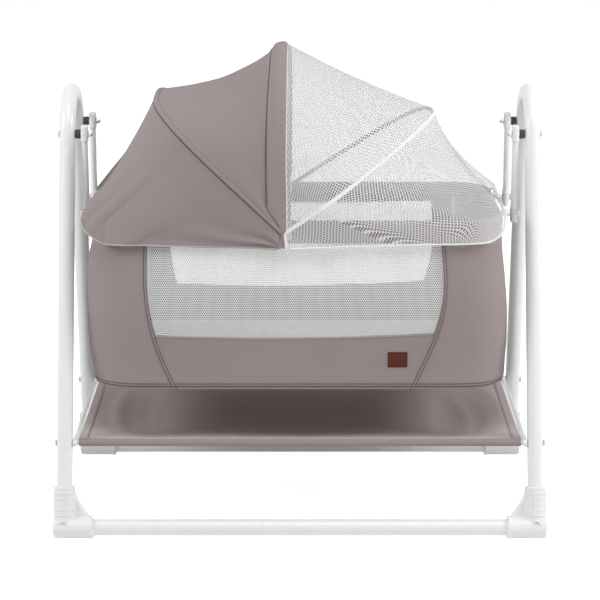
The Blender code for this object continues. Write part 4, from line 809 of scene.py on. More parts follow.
def makeShelfCloth():
    # across: round the front rod, down z = level - sag * (1 - s * s) with folds, and round the rear rod
    y = legY(shelf["z"])
    leave = np.pi / 2 - np.arctan(2 * shelf["sag"] / y)
    a = np.linspace(leave - 1.5 * np.pi / 2 + 2 * np.pi, leave, shelf["sleeveRows"])
    r = shelf["inner"]
    wrap = np.stack([-y + r * np.cos(a), shelf["z"] + r * np.sin(a)], -1)
    half, level = -wrap[-1, 0], wrap[-1, 1]
    s = np.linspace(-1, 1, shelf["rows"] + 2)[1:-1]
    x = np.linspace(-1, 1, shelf["columns"])
    x = shelf["half"] * np.sign(x) * (1 - (1 - np.abs(x)) ** 1.15)
    hang = 1 - s * s
    inside = (shelf["half"] - np.abs(x))[:, None]
    near = np.exp(-inside / shelf["creaseReach"])
    wave = np.cos(2.5 * np.pi * x / shelf["half"])[:, None]
    # the ends are held straight by their hems, and the full sag comes further in
    taut = shelf["tautEnd"] + (1 - shelf["tautEnd"]) * smooth01(inside / shelf["taut"])
    dip = shelf["sag"] * hang[None] * taut + 0.6 * shelf["fold"] * wave * hang[None] ** 2 * taut
    bent = x[:, None] + 0.05 * np.sign(x[:, None]) * s[None] ** 2
    (wide, fine), (slow, fast) = shelf["crease"], shelfWaves["creases"]
    crease = wide * np.sin(bent * slow) + fine * np.sin(bent * fast + 1.3 + 2 * s[None])
    dip = dip + near * hang[None] ** 0.8 * smooth01(inside / 0.03) * crease
    (fine, wide), (fast, slow) = shelf["pucker"], shelfWaves["puckers"]
    pucker = (fine * np.sin(x * fast) + wide * np.sin(x * slow + 1.0))[:, None]
    pucker = pucker * np.exp(-(1 - np.abs(s)) / shelf["puckerReach"])
    hem = shelf["hemRise"] * smooth01((shelf["hem"] + 0.0005 - inside) / shelf["hemStep"])
    middle = np.stack([np.broadcast_to(half * s[None], dip.shape), level - dip + pucker + hem], -1)
    fast, slow = shelfWaves["rucks"]
    ruck = shelf["ruck"] * np.sin(x * fast + 0.7 * np.sin(x * slow))[:, None]
    ends = np.repeat(wrap[None], len(x), 0)
    ends[..., 1] += ruck * np.sin(np.linspace(0, np.pi, len(wrap))) ** 2
    rear = ends[:, ::-1] * (-1, 1)
    flat = np.concatenate([ends, middle, rear], 1)
    points = np.concatenate([np.broadcast_to(x[:, None, None], (*flat.shape[:2], 1)), flat], -1)
    marks = np.zeros(points.shape[:2])
    # painted shade: the rows wrapped round both rods are darkened through the seam value, for the shade on
    # the sleeves
    marks[:, :len(wrap) + 1] = marks[:, -len(wrap) - 1:] = shelf["sleeveShade"]
    # painted shade in the groove along each end's hem seam, darkened through the seam value
    seam = np.exp(-((inside - shelf["hem"]) / shelf["seamWidth"]) ** 2)
    marks = np.maximum(marks, shelf["hemSeamShade"] * seam)
    cloth = makePiece("shelf_sling", gridShape(points), "litShelfCloth", "stand", ["shelf_cloth"],
        marks=marks, inside=(0, 0, -3), wall=-shelf["wall"])
    above = np.array([0, 0, 1.0])
    lines = [points[:, column] + above * shelf["threadLift"] for column in (len(wrap) + 1, -len(wrap) - 2)]
    lines += [points[row, len(wrap):-len(wrap)] + above * (shelf["wall"] + 0.0002) for row in (8, -9)]
    seams = joinShapes(*[stitches(line, above, *sewing["shelf"]) for line in lines])
    makePiece("shelf_seams", seams, "thread", "stand")
    print("shelf built")


# basket

basket = {"halfX": 0.4300161, "halfY": 0.230, "corner": 0.075, "ring": 0.677, "rim": 0.0104, "bulge": 0.012,
    "foot": 0.337, "bottom": 0.015, "edge": 0.025, "wall": 0.0018, "windowTop": 0.640, "windowBottom": 0.432,
    "band": 0.0070, "wallTop": 0.672, "windowColumns": 120, "cornerColumns": 21, "endColumns": 39,
    "ripple": (0.0007, 0.0003), "bandRise": 0.0011, "seam": 0.0029, "welts": (0.0008, 0.0011)}
# short creases below the rim and a wide slack in the whole wall: depth, length of a wave and place
creases = {"depth": 0.0009, "wave": 0.043, "middle": 0.645, "reach": 0.055}
slack = {"depth": 0.0007, "wave": 0.19, "foot": 0.33, "height": 0.34}
# places read off the photo on the long wall, as (x, z): the two curved seams and the window's lower edge
seamPlaces = {
    "left": [(-0.3270, 0.680), (-0.3288, 0.6315), (-0.3325, 0.5793), (-0.3282, 0.5263), (-0.3183, 0.4453),
        (-0.2996, 0.3888), (-0.2726, 0.3234)],
    "right": [(0.3040, 0.680), (0.3054, 0.6326), (0.3113, 0.5664), (0.307, 0.49), (0.2936, 0.4453),
        (0.2717, 0.382), (0.2487, 0.3323)],
    "lower": [(-0.3116, 0.4397), (-0.1204, 0.4340), (-0.043, 0.4345), (0.1354, 0.4380), (0.29, 0.4453)],
}
seamCurve = {side: np.polyfit(*np.transpose(seamPlaces[side])[::-1], 4) for side in ("left", "right")}
seamCurve["lower"] = np.polyfit(*np.transpose(seamPlaces["lower"]), 2)
rearShift = {"left": 0.019, "right": 0.006}
# how far each end wall stands out past the rounded rectangle at these heights, read off the photo
bulges = {
    "heights": (0.312, 0.337, 0.405, 0.470, 0.535, 0.600, 0.640, 0.668),
    "left": (0.010, 0.0125, 0.0165, 0.0145, 0.0140, 0.0130, 0.0075, 0),
    "right": (0.0045, 0.0065, 0.0070, 0.0030, -0.0025, -0.0045, -0.0030, 0),
}


def wallOffset(z):
    # edge + (full - edge) * (1 - s * s) ^ 2, with s from 0 at the widest height to 1 at the rim and the foot
    full = basket["rim"] + basket["bulge"]
    widest = basket["foot"] + (basket["ring"] - basket["foot"]) * 0.51
    above, below = (z - widest) / (basket["ring"] - widest), (widest - z) / (widest - basket["foot"])
    s = np.where(z > widest, above, below).clip(0, 1)
    edge = np.where(z > widest, basket["rim"], basket["bottom"])
    return edge + (full - edge) * (1 - s * s) ** 2


def wallPoint(x, z, edge, out=0.0):
    return np.stack([x, edge * (basket["halfY"] + wallOffset(z) + out), z], -1)


def seamX(side, z, edge=-1):
    # the rear window is a little narrower, as seen through the front one
    return np.polyval(seamCurve[side], np.clip(z, 0.318, 0.684)) + (rearShift[side] if edge > 0 else 0)


def longWall(t, z, edge=-1):
    # x along the long wall: t 0-1 left of the window, 1-2 the window, 2-3 right of it, bent with the seams
    left, right = seamX("left", z, edge) + basket["band"] / 2, seamX("right", z, edge) - basket["band"] / 2
    inset = basket["halfX"] - basket["corner"]
    ways = [-inset + (left + inset) * t, left + (right - left) * (t - 1), right + (inset - right) * (t - 2)]
    return np.where(t < 1, ways[0], np.where(t < 2, ways[1], ways[2]))


def lowerEdge(x, z):
    # lifts the row at the window's lower edge to the curve read off the photo, fading out on all sides
    top, bottom, foot = basket["windowTop"], basket["windowBottom"], basket["foot"]
    lift = np.polyval(seamCurve["lower"], np.clip(x, -0.33, 0.31)) - bottom
    near = np.where(z > bottom, (top - z) / (top - bottom), (z - foot) / (bottom - foot))
    return z + lift * smooth01(near) * smooth01((0.355 - np.abs(x)) / 0.02)


def basketRows():
    # each row's way out from the rounded rectangle and its height: over the ring, down the wall, round the
    # foot and in
    rim, foot, edge = basket["rim"], basket["foot"], basket["edge"]
    top, bottom = basket["windowTop"], basket["windowBottom"]
    a, b = np.linspace(np.pi, 0, 15), np.linspace(0, np.pi / 2, 9)[1:]
    wall = [np.linspace(basket["wallTop"], top, 7), np.linspace(top, bottom, 37)[1:],
        np.linspace(bottom, foot, 18)[1:]]
    wall = np.concatenate(wall)
    low = basket["bottom"] - edge
    inward = np.array([0.02, 0.04, 0.06])
    out = [np.full(3, -rim), rim * np.cos(a), wallOffset(wall), low + edge * np.cos(b), low - inward]
    start, over = np.linspace(0.657, 0.672, 3), basket["ring"] + rim * np.sin(a)
    heights = [start, over, wall, foot - edge * np.sin(b), np.full(3, foot - edge)]
    return np.concatenate(out), np.concatenate(heights)


def basketShape():
    # rows as above; columns go once round the rounded rectangle, in two halves, alike but for the long walls
    out, heights = basketRows()
    g, z = out[:, None], heights[:, None]
    window, bend = basket["windowColumns"], basket["cornerColumns"]
    t = np.concatenate([np.linspace(0, 1, 7), np.linspace(1, 2, window + 1)[1:], np.linspace(2, 3, 9)[1:]])
    insetX, insetY = basket["halfX"] - basket["corner"], basket["halfY"] - basket["corner"]
    turn, end = np.linspace(0, np.pi / 2, bend), np.linspace(-insetY, insetY, basket["endColumns"] + 2)[1:-1]
    x = np.concatenate([0 * t, np.full(2 * bend + len(end), insetX)])
    y = np.concatenate([0 * t - insetY, np.full(bend, -insetY), end, np.full(bend, insetY)])
    dx = np.concatenate([0 * t, np.sin(turn), 0 * end + 1, np.cos(turn)])
    dy = np.concatenate([0 * t - 1, -np.cos(turn), 0 * end, np.sin(turn)])
    half = len(x)
    x, y, dx, dy = (np.concatenate([line, -line])[None] for line in (x, y, dx, dy))
    x = np.repeat(x, len(z), 0)
    x[:, :len(t)] = longWall(t, z)
    x[:, half:half + len(t)] = longWall(t[::-1], z, 1)
    column = np.arange(2 * half)
    onLong = column % half < len(t)
    height = np.where(onLong & (z < 0.645) & (z >= basket["foot"]), lowerEdge(x, z), z)
    onWall = (z >= basket["foot"]) & (g > 0) & (z < basket["wallTop"])
    grown = np.where(onWall & (height >= basket["foot"]), wallOffset(height), g)
    run = runLength(np.stack([(x + dx * 0.085)[30], (y + dy * 0.085)[0]], -1))[None]
    crease = np.sin(run * 2 * np.pi / creases["wave"] + 1.2 * np.sin(run * 17))
    crease = crease * np.exp(-((z - creases["middle"]) / creases["reach"]) ** 2)
    wave = np.sin(run * 2 * np.pi / slack["wave"] + 3.0 * z)
    wave = wave * np.sin(np.pi * ((z - slack["foot"]) / slack["height"]).clip(0, 1))
    body = np.where(onLong, smooth01((np.abs(x) - 0.315) / 0.02), 1.0) * onWall
    grown = grown + body * (creases["depth"] * crease + slack["depth"] * wave)
    reach = np.maximum(basket["corner"] + grown, 0)
    points = np.stack([x + dx * reach, y + dy * reach, height + 0 * x], -1)
    left, right = (np.interp(points[..., 2], bulges["heights"], bulges[side]) for side in ("left", "right"))
    points[..., 0] += ((g > 0) | (z < 0.34)) * np.where(dx < 0, left, right) * dx * np.abs(dx) ** 0.5
    # the way into each corner is eased, so that no line shows where the flat wall ends
    for start in (0, bend + len(end), half, half + bend + len(end)):
        at = (np.arange(-6, bend + 6) + len(t) + start) % len(column)
        points[:, at] = eased(points[:, at], 14, axis=1)
    uv = np.stack(np.broadcast_arrays(run, runLength(np.stack([out, heights], -1))[:, None]), -1)
    # a last row drawn in to the floor's middle, and the first column again to close the tub
    points = ringed(np.concatenate([points, points[-1:] * (0.25, 0.0, 1)]), 1)
    uv = np.concatenate([uv, uv[-1:] + (0, 0.15)])
    uv = np.concatenate([uv, uv[:, -1:] + (0.002, 0)], 1)
    points, quads, uv = gridShape(points, uv=uv)
    # the windows are left out: cells between the window's edges, in the middle columns of a long wall
    levels = np.repeat(np.append(heights, heights[-1]), len(column) + 1)[quads]
    inRows = (levels.max(1) <= basket["windowTop"] + 1e-6) & (levels.min(1) >= basket["windowBottom"] - 1e-6)
    row, column = np.divmod(np.arange(len(quads)), len(column))
    first = np.where(column < half, 6, 8)
    inColumns = (column % half >= first) & (column % half < first + window)
    keep = ~(inRows & inColumns & (out[np.minimum(row, len(out) - 1)] > 0))
    return points, quads[keep], uv


def windowShape(edge):
    # a fine grid between the two seams, bowed like the wall and rippled where it is stretched
    s, r = np.linspace(0, 1, 140)[None], np.linspace(0, 1, 50)[:, None]
    under = 0.003  # the net goes this far under the cloth above and below
    z = basket["windowBottom"] - under + (basket["windowTop"] - basket["windowBottom"] + 2 * under) * r
    left, right = seamX("left", z, edge) + 0.0005, seamX("right", z, edge) - 0.0005
    x = left + (right - left) * s
    z = lowerEdge(x, z) + 0 * x
    wide, fine = basket["ripple"]
    ripple = wide * np.sin(3 * np.pi * r + 5 * s) * np.sin(np.pi * s) + fine * np.sin(29 * s + 9 * r)
    points = wallPoint(x, z, edge, -0.0011 + ripple * np.sin(np.pi * r))
    # the rear net is laid crosswise, so that the two grids of holes don't beat against each other
    return gridShape(points, uv=np.stack([x, z] if edge < 0 else [z, x], -1))


def makeBasket():
    tub = basketShape()
    cloth = makePiece("basket_tub", tub, "taupeCloth", "basket", ["basket_cloth"],
        inside=(0, 0, 0.5), wall=basket["wall"])
    bands, threads = [], []
    for edge in (-1, 1):
        out = np.array([0, edge, 0])
        for side in ("left", "right"):
            # down the wall and on under the foot's edge
            z = np.linspace(basket["foot"], 0.668, 90)
            path = wallPoint(seamX(side, z, edge), z, edge)
            b = np.linspace(1.1, 0, 10, endpoint=False)
            z = basket["foot"] - basket["edge"] * np.sin(b)
            low = basket["halfY"] + basket["bottom"] - basket["edge"] * (1 - np.cos(b))
            path = np.concatenate([np.stack([seamX(side, z, edge), edge * low, z], -1), path])
            bands.append(strip(path, out, basket["band"], basket["bandRise"]))
            across = unit(np.cross(unit(np.gradient(path, axis=0)), out))
            for shift in (-basket["seam"], basket["seam"]):
                threads.append(stitches(path + across * shift + out * 0.0009, out, *sewing["basket"]))
        x = np.linspace(-0.318, 0.298, 120) if edge < 0 else np.linspace(-0.299, 0.304, 120)
        path = wallPoint(x, np.polyval(seamCurve["lower"], x) - 0.0045, edge)
        threads.append(stitches(path, out, *sewing["window"]))
        row, finish = ("front", "litWindowNet") if edge < 0 else ("rear", "rearWindowNet")
        net = makePiece(row + "_window_mesh", windowShape(edge), finish, "basket", [row + "_window_net"],
            inside=(0, 0, 0.5))
    makePiece("basket_seam_bands", joinShapes(*bands), "taupeCloth", "basket", closed=False)
    makePiece("basket_stitching", joinShapes(*threads), "thread", "basket")
    # the welts lie on the foot's first, second and third row of points, each row level and at its own height
    heights = basket["foot"] - basket["edge"] * np.sin(np.array([1, 2, 3]) * np.pi / 16)
    rows = [tub[0][np.isclose(tub[0][:, 2], height)] for height in heights]
    paths = ((rows[0] + rows[1]) / 2, rows[2])
    welts = [tube(path, radius, 10, (0, 0, 1), closed=True) for path, radius in zip(paths, basket["welts"])]
    # the welts take the dark thread finish: piping, with the shade around it painted in
    makePiece("basket_bottom_welt", joinShapes(*welts), "thread", "basket")
    print("basket cloth and windows built")


label = {"x": (0.189, 0.2315), "z": (0.368, 0.402), "round": 0.0022, "groove": 0.0021}


def makeLabel():
    # bare leather patch: rounded loops drawn in over a pillowed top, with a pressed groove for the stitches
    cx, cz = sum(label["x"]) / 2, sum(label["z"]) / 2
    hx, hz = (label["x"][1] - label["x"][0]) / 2, (label["z"][1] - label["z"][0]) / 2
    groove = label["groove"]
    steps = [(0, 0.0), (0, 0.0009), (0.0003, 0.0013), (0.0009, 0.0015), (0.0016, 0.00145), (groove, 0.0011)]
    steps += [(0.0026, 0.00145)] + [(inset, 0.0016) for inset in (0.0034, 0.0055, 0.009, 0.013)]
    loops, marks = [], []
    for inset, rise in steps:
        outline = roundedOutline(hx - inset, hz - inset, max(label["round"] - inset * 0.4, 0.0006), 6)
        x, z = cx + outline[:, 0], cz + outline[:, 1]
        loops.append(wallPoint(x, z, -1, 0.0002 + rise))
        marks.append(np.full(len(outline) + 1, 0.9 if inset == groove else 0.35 if rise < 0.001 else 0.0))
    marks = np.concatenate([marks[:1], marks, marks[-1:]])
    makePiece("leather_label", loft(loops), "leather", "basket", ["label_patch"], marks=marks)
    outline = ringed(roundedOutline(hx - groove, hz - groove, 0.0012, 6))
    path = wallPoint(cx + outline[:, 0], cz + outline[:, 1], -1, 0.0015)
    thread = stitches(path, (0, -1, 0), *sewing["label"])
    makePiece("label_stitching", thread, "thread", "basket")


hoop = {"x": 0.361, "y": 0.230, "top": 0.6687, "low": 0.3201, "bend": 0.030, "rod": 0.006}


def makeHoops():
    # down from the ring, a quarter circle, along below the board, and the same on the other side
    half, bend, low = hoop["y"], hoop["bend"], hoop["low"]
    a = np.linspace(np.pi, 1.5 * np.pi, 13)
    y = np.concatenate([np.full(12, -half), bend - half + bend * np.cos(a), np.linspace(-0.19, 0, 8)])
    z = np.concatenate([np.linspace(hoop["top"], 0.355, 12), low + bend + bend * np.sin(a), np.full(8, low)])
    y, z = np.concatenate([y, -y[-2::-1]]), np.concatenate([z, z[-2::-1]])
    for word, side in (("left", -1), ("right", 1)):
        path = np.stack([np.full_like(y, side * hoop["x"]), y, z], -1)
        rod = tube(path, hoop["rod"], 24, (1, 0, 0))
        makePiece(word + "_round_hoop", rod, "whiteSteel", "basket", [word + "_hoop"])
    dress(["basket_top_ring"], "whiteSteel")
    dress(["front_canopy_bracket", "rear_canopy_bracket"], "whitePlastic")
    dress(["base_board"], "board")


makeStand()
makeArms()
makeShelfBars()
makeShelfCloth()
makeBasket()
makeLabel()
makeHoops()


# mattress

mattress = {"half": (0.4372, 0.2170), "round": 0.070, "low": 0.3307, "high": 0.3607, "crown": 0.0075,
    "shrink": 0.0035, "voxel": 0.006, "cap": 0.006, "quilt": 0.058, "depth": 0.0016, "top": 0.3680,
    "edge": 0.010, "channel": 0.0042, "thread": 0.0012, "piping": 0.0024, "pipes": (0.3375, 0.3560),
    "steps": 20, "pressure": 4.0, "stiffness": 40.0, "mass": 0.3, "topStart": 0.352, "topStep": 0.006,
    "threadTone": 0.35}


def mattressStart():
    # rounded loops from the underside up the side and in over the crowned top, a little smaller than the pad
    small, r = mattress["shrink"], mattress["edge"]
    low, high = mattress["low"] + small / 2, mattress["high"] - small / 2
    a = np.linspace(-np.pi / 2, 0, 5)
    levels = [(-r - 0.16, low), (-r - 0.08, low)] + [(-r + r * np.cos(t), low + r + r * np.sin(t)) for t in a]
    levels += [(-0.002, (low + high) / 2)] + [(-r + r * np.cos(t), high - r - r * np.sin(t)) for t in a[::-1]]
    inward = (0.15, 0.3, 0.5, 0.7, 0.9)
    levels += [(-r - 0.2 * s, high + mattress["crown"] * (1 - (1 - s) ** 2)) for s in inward]
    loops = []
    halfX, halfY = mattress["half"]
    for grown, z in levels:
        inset, bend = small - grown, max(mattress["round"] + grown, 0.004)
        outline = roundedOutline(halfX - inset, halfY - inset, bend, 10)
        loops.append(np.column_stack([outline, np.full(len(outline), z)]))
    return loft(loops)


def inflated(piece):
    # the sewn cover blown up by its filling: cloth under pressure, no point moving further than the cap
    settled(piece, ("REMESH", {"mode": "VOXEL", "voxel_size": mattress["voxel"]}))
    start = readPoints(piece)
    cloth = piece.modifiers.new("filling", "CLOTH")
    cloth.settings.quality = 5
    cloth.settings.mass = mattress["mass"]
    cloth.settings.use_pressure = True
    cloth.settings.uniform_pressure_force = mattress["pressure"]
    cloth.settings.tension_stiffness = cloth.settings.compression_stiffness = mattress["stiffness"]
    cloth.settings.effector_weights.gravity = 0.0
    cloth.collision_settings.use_collision = False
    for step in range(1, mattress["steps"] + 1):
        scene.frame_set(step)
    move = readPoints(settled(piece)) - start
    scene.frame_set(1)
    length = np.linalg.norm(move, axis=1, keepdims=True)
    return start + move * np.minimum(length, mattress["cap"]) / np.maximum(length, 1e-9)


def makeMattress():
    piece = makePiece("quilted_mattress", mattressStart(), "mattressCloth")
    # kept in the space between board, walls and hoops
    halfX, halfY = mattress["half"]
    low, high = (-halfX, -halfY, mattress["low"]), (halfX, halfY, mattress["top"])
    writePoints(piece, inflated(piece).clip(low, high))
    settled(piece, ("SUBSURF", {"levels": 1, "render_levels": 1}))
    points = readPoints(piece)
    # diamond channels on the top: depth * exp(-(distance / width) ^ 2), with the distance to the nearest of
    # two crossed sets of lines
    x, y = points[:, 0], points[:, 1]
    u, v = (x + y) / mattress["quilt"], (x - y) / mattress["quilt"]
    away = np.minimum(np.abs(u - np.round(u)), np.abs(v - np.round(v))) * mattress["quilt"]
    top = smooth01((points[:, 2] - mattress["topStart"]) / mattress["topStep"])
    points[:, 2] -= mattress["depth"] * np.exp(-(away / mattress["channel"]) ** 2) * top
    writePoints(piece, points)
    threads = mattress["threadTone"] * np.exp(-(away / mattress["thread"]) ** 2)
    writeValues(piece.data, "seam", threads * top)
    layer = piece.data.uv_layers.active or piece.data.uv_layers.new(name="UVMap")
    layer.data.foreach_set("uv", points[cornerPoints(piece.data), :2].ravel())
    piece.data.shade_smooth()
    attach(piece, "basket")
    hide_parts("mattress")
    small = mattress["shrink"]
    outline = ringed(roundedOutline(halfX - small, halfY - small, mattress["round"] - 0.003, 24))
    paths = [np.column_stack([outline, np.full(len(outline), z)]) for z in mattress["pipes"]]
    pipes = [tube(path, mattress["piping"], 10, (0, 0, 1), closed=True) for path in paths]
    makePiece("mattress_piping", joinShapes(*pipes), "whiteTape", "basket")
    print("mattress built")


# canopy

canopy = {"hubX": -0.035, "hubZ": 0.665, "spread": 0.262, "knee": 0.090, "over": 0.0037, "fanY": 0.2674,
    "fan": 0.012, "low": 0.634, "high": 0.691, "standoff": 0.0224, "gap": 0.0194, "split": 0.0003,
    "archParts": 66, "legParts": 18, "wall": 0.0012, "rod": 0.0025, "sleeve": 0.0036,
    "eye": 0.0025, "eyeStart": 0.007, "netStart": 0.4300, "netRoom": 0.0165, "standOut": 0.015,
    "bulge": {-1: 0.014, 1: 0.006}}  # how far the hem's left and right corners stand out
# the hem: the run in y over which it rises, its small lift away from the hub, and where it stands out
hemPlaces = {"rise": 0.150, "lift": 0.0065, "liftRun": 0.38, "arms": 0.126, "armsStep": 0.03,
    "hubReach": 0.070}
hub = (canopy["hubX"], 0, canopy["hubZ"])
bows = {
    "left": {"lean": np.radians(-46.4), "height": 0.382, "front": 3.6, "rear": 2.4, "foot": 0.2493},
    "middle": {"lean": 0.0, "height": 0.369, "front": 2.8, "rear": 2.4, "foot": 0.2546},
    "right": {"lean": np.radians(56.6), "height": 0.395, "front": 1.35, "rear": 3.0, "foot": 0.2599},
}
sag = {"leftEnd": 0.005, "left": 0.026, "right": 0.008, "rightEnd": 0.020}
# heights of the folds, and how far the cloth and the net stand proud of the straight way from line to line
folds = {"proud": 0.0010, "corner": 0.0048, "soft": 0.0026, "hub": 0.0075, "gather": 0.0012, "puff": 0.010,
    "pleat": 0.0022, "topHub": 0.0055, "topSoft": 0.0024, "netProud": 0.0008, "netTop": 0.0012,
    "netCorner": 0.0022, "netSoft": 0.0011, "netGather": 0.0006}
# columns of points in each part of the cover, and the share of an end's length that lies above the rim
panelColumns = {"end": 34, "rim": 15, "clothTop": 48, "netTop": 52}
aboveRim = 0.72


within = (hub[0], 0, 0.5)  # a point inside the basket, which the cover faces away from


def spacedLine(points, count, turnWeight=0.25):
    # the same line through count points, closer where it turns: each part counts length + turnWeight * angle
    step = np.diff(points, axis=0)
    length = np.linalg.norm(step, axis=1)
    way = step / np.maximum(length, 1e-12)[:, None]
    turn = np.append(np.arccos((way[:-1] * way[1:]).sum(1).clip(-1, 1)), 0)
    gone = summed(length + turn * turnWeight)
    return sampled(points, gone, np.linspace(0, gone[-1], count))


def archLine(bow, half, grown, count):
    # |y / spread| ^ n + |(up - knee) / (height - knee)| ^ n = 1 from the knee to the top; n by half
    turn = np.linspace(0, np.pi / 2, 500)
    y = (canopy["spread"] + grown) * np.cos(turn).clip(0) ** (2 / bow[half])
    up = canopy["knee"] + (bow["height"] + grown - canopy["knee"]) * np.sin(turn) ** (2 / bow[half])
    return spacedLine(np.stack([y, up, 0 * y], -1), count)[:, :2]


def leaned(bow, y, up, shift=0.0):
    # points of a bow's own plane, y across and up from the hub, where the bow stands
    return np.stack([hub[0] + shift + up * np.sin(bow["lean"]), y, hub[2] + up * np.cos(bow["lean"])], -1)


def bothHalves(halves):
    # the front half from foot to top and the rear one from top to foot, as one line
    return np.concatenate([halves[0] * (1, -1, 1), halves[1][-2::-1]])


def coverLine(name, shift, fan):
    # the cover's line over a bow, from its foot in the front hem to the rear one
    bow, knee = bows[name], canopy["knee"]
    s = np.linspace(0, 1, canopy["legParts"], endpoint=False)
    y = canopy["fanY"] + (canopy["spread"] + canopy["over"] - canopy["fanY"]) * s
    leg = leaned(bow, y, np.interp(s, (0, 1 / 3, 2 / 3, 1), (0, 0, knee / 3, knee)), shift)
    foot = (1 - 3 * s).clip(0)
    leg[:, 0] += fan * foot
    leg[:, 2] -= (hub[2] - canopy["low"]) * foot
    arches = [archLine(bow, half, canopy["over"], canopy["archParts"] + 1) for half in ("front", "rear")]
    return bothHalves([np.concatenate([leg, leaned(bow, *arch.T, shift)]) for arch in arches])


def hemLine(side, start):
    # the elastic hem round one half of the rim, out over the hub and raised over the arm bolts
    halfX, halfY = basket["halfX"] + canopy["standoff"], basket["halfY"] + canopy["standoff"]
    radius = basket["corner"] + canopy["standoff"]
    inset, t = halfX - radius, np.linspace(0, 1, 161)
    turn = np.pi / 2 * t
    grown = radius + canopy["bulge"][side] * np.sin(2 * turn)
    straight = np.ones(len(t) - 1)
    x = [start + (side * inset - start) * t[:-1], side * (inset + grown * np.sin(turn)),
        straight * side * halfX]
    y = [straight * -halfY, radius - halfY - grown * np.cos(turn), (radius - halfY) * (1 - t[1:])]
    x, y = np.concatenate(x), np.concatenate(y)
    gone = ((y + halfY) / hemPlaces["rise"]).clip(0, 1)
    rise = 1 - (1 - (np.sqrt(gone ** 2 + 0.012) - 0.11).clip(0, 1) / 0.9) ** 3
    along = hemPlaces["lift"] * smooth01(np.abs(x - start) / hemPlaces["liftRun"]) * (1 - rise)
    if side < 0:  # the cloth stands out past the arms in front of them
        arms = smooth01((-y - hemPlaces["arms"]) / hemPlaces["armsStep"])
        x = x - canopy["standOut"] * arms * smooth01((halfY + y) / 0.05)
    else:  # and the net is drawn in, so that it never goes further than its room past its start
        room, past = canopy["netRoom"], (x - canopy["netStart"]).clip(0)
        x = np.minimum(x, canopy["netStart"] + room * (1 - np.exp(-past / room)))
    y = y - canopy["standOut"] * np.exp(-((x - hub[0]) / hemPlaces["hubReach"]) ** 2)
    z = canopy["low"] - 0.001 + along + (canopy["high"] - canopy["low"]) * rise
    front = spacedLine(np.stack([x, y, z], -1), canopy["archParts"] + canopy["legParts"] + 1)
    return np.concatenate([front, front[-2::-1] * (1, -1, 1)])


def rimLine(high, hem):
    # where the cover turns over the rim: on the straight way from bow to hem, or if it is further out at the
    # gap from the ring
    inset = np.array([basket["halfX"], basket["halfY"]]) - basket["corner"]
    level = np.full(len(hem), basket["ring"])
    centre = np.column_stack([np.clip(hem[:, :2], -inset, inset), level])
    out = unit(np.column_stack([hem[:, :2], level]) - centre)
    ring = centre + out * basket["corner"]
    inward = ((ring - high) * out).sum(1).clip(0)
    turn = np.arctan2(inward, (high[:, 2] - basket["ring"]).clip(1e-5))[:, None]
    square = out * np.cos(turn) + np.array([0, 0, 1.0]) * np.sin(turn)
    way = hem - high
    share = (((ring - high) * way).sum(1) / np.maximum((way * way).sum(1), 1e-9)).clip(0.3, 0.8)[:, None]
    point = high + way * share
    close = ((point - ring) * square).sum(1, keepdims=True) < canopy["gap"]
    point = np.where(close, ring + square * canopy["gap"], point)
    point[:, 2] = np.maximum(point[:, 2], hem[:, 2] + 0.009)
    point[[0, -1]] = (high[[0, -1]] + hem[[0, -1]]) / 2
    return eased(point, 6)


def panelAt(first, last, deep, share, crown=None):
    # a straight way from one line to the other, drawn towards the hub's axis by deep * 4 s (1 - s)
    share = share[..., None]
    point = first[:, None] * (1 - share) + last[:, None] * share
    away = (point - hub) * (1, 0, 1)
    length = np.linalg.norm(away, axis=-1, keepdims=True)
    drawn = deep * 4 * share * (1 - share) * np.minimum(length / 0.372, 1) * (length > deep)
    point = point - away / np.maximum(length, 1e-6) * drawn
    if crown is None:
        return point
    # the cover stays nearly level beside a crowned line, lifted by
    # (the line's reach - its own reach) * 0.8 * exp(-(distance / 27 mm) ^ 4)
    line, gap = (first, share) if crown == "first" else (last, 1 - share)
    away = (point - hub) * (1, 0, 1)
    own = np.linalg.norm(away, axis=-1, keepdims=True)
    reach = np.linalg.norm((line - hub) * (1, 0, 1), axis=-1)[:, None, None]
    distance = gap * np.linalg.norm(last - first, axis=-1)[:, None, None]
    lift = (reach - own) * 0.8 * np.exp(-(distance / 0.027) ** 4) * smooth01((reach - 0.05) / 0.1)
    return point + away / np.maximum(own, 1e-6) * lift


def endPanel(line, rim, hem, deep, inner, outer):
    # from a bow's line over the rim to the hem, eased where it turns
    points = np.concatenate([panelAt(line, rim, deep, inner), panelAt(rim, hem, 0, outer)[:, 1:]], 1)
    return np.concatenate([points[:, :12], eased(points[:, 12:], 6, axis=1)], 1)


def outward(points):
    # surface normals of a grid, turned away from the middle of the basket
    normal = np.cross(np.gradient(points, axis=1), np.gradient(points, axis=0))
    away = points - (hub[0], 0, 0.55)
    return unit(normal) * np.sign((normal * away).sum())


def waves(a, b):
    # a soft, uneven fold pattern from three crossed sines
    slow, middle, fast = a + 0.8 * np.sin(b), 1.7 * a - 0.6 * b + 1.1, 2.9 * a + 1.4 * b + 0.4
    return 0.5 * np.sin(slow) + 0.3 * np.sin(middle) + 0.2 * np.sin(fast)


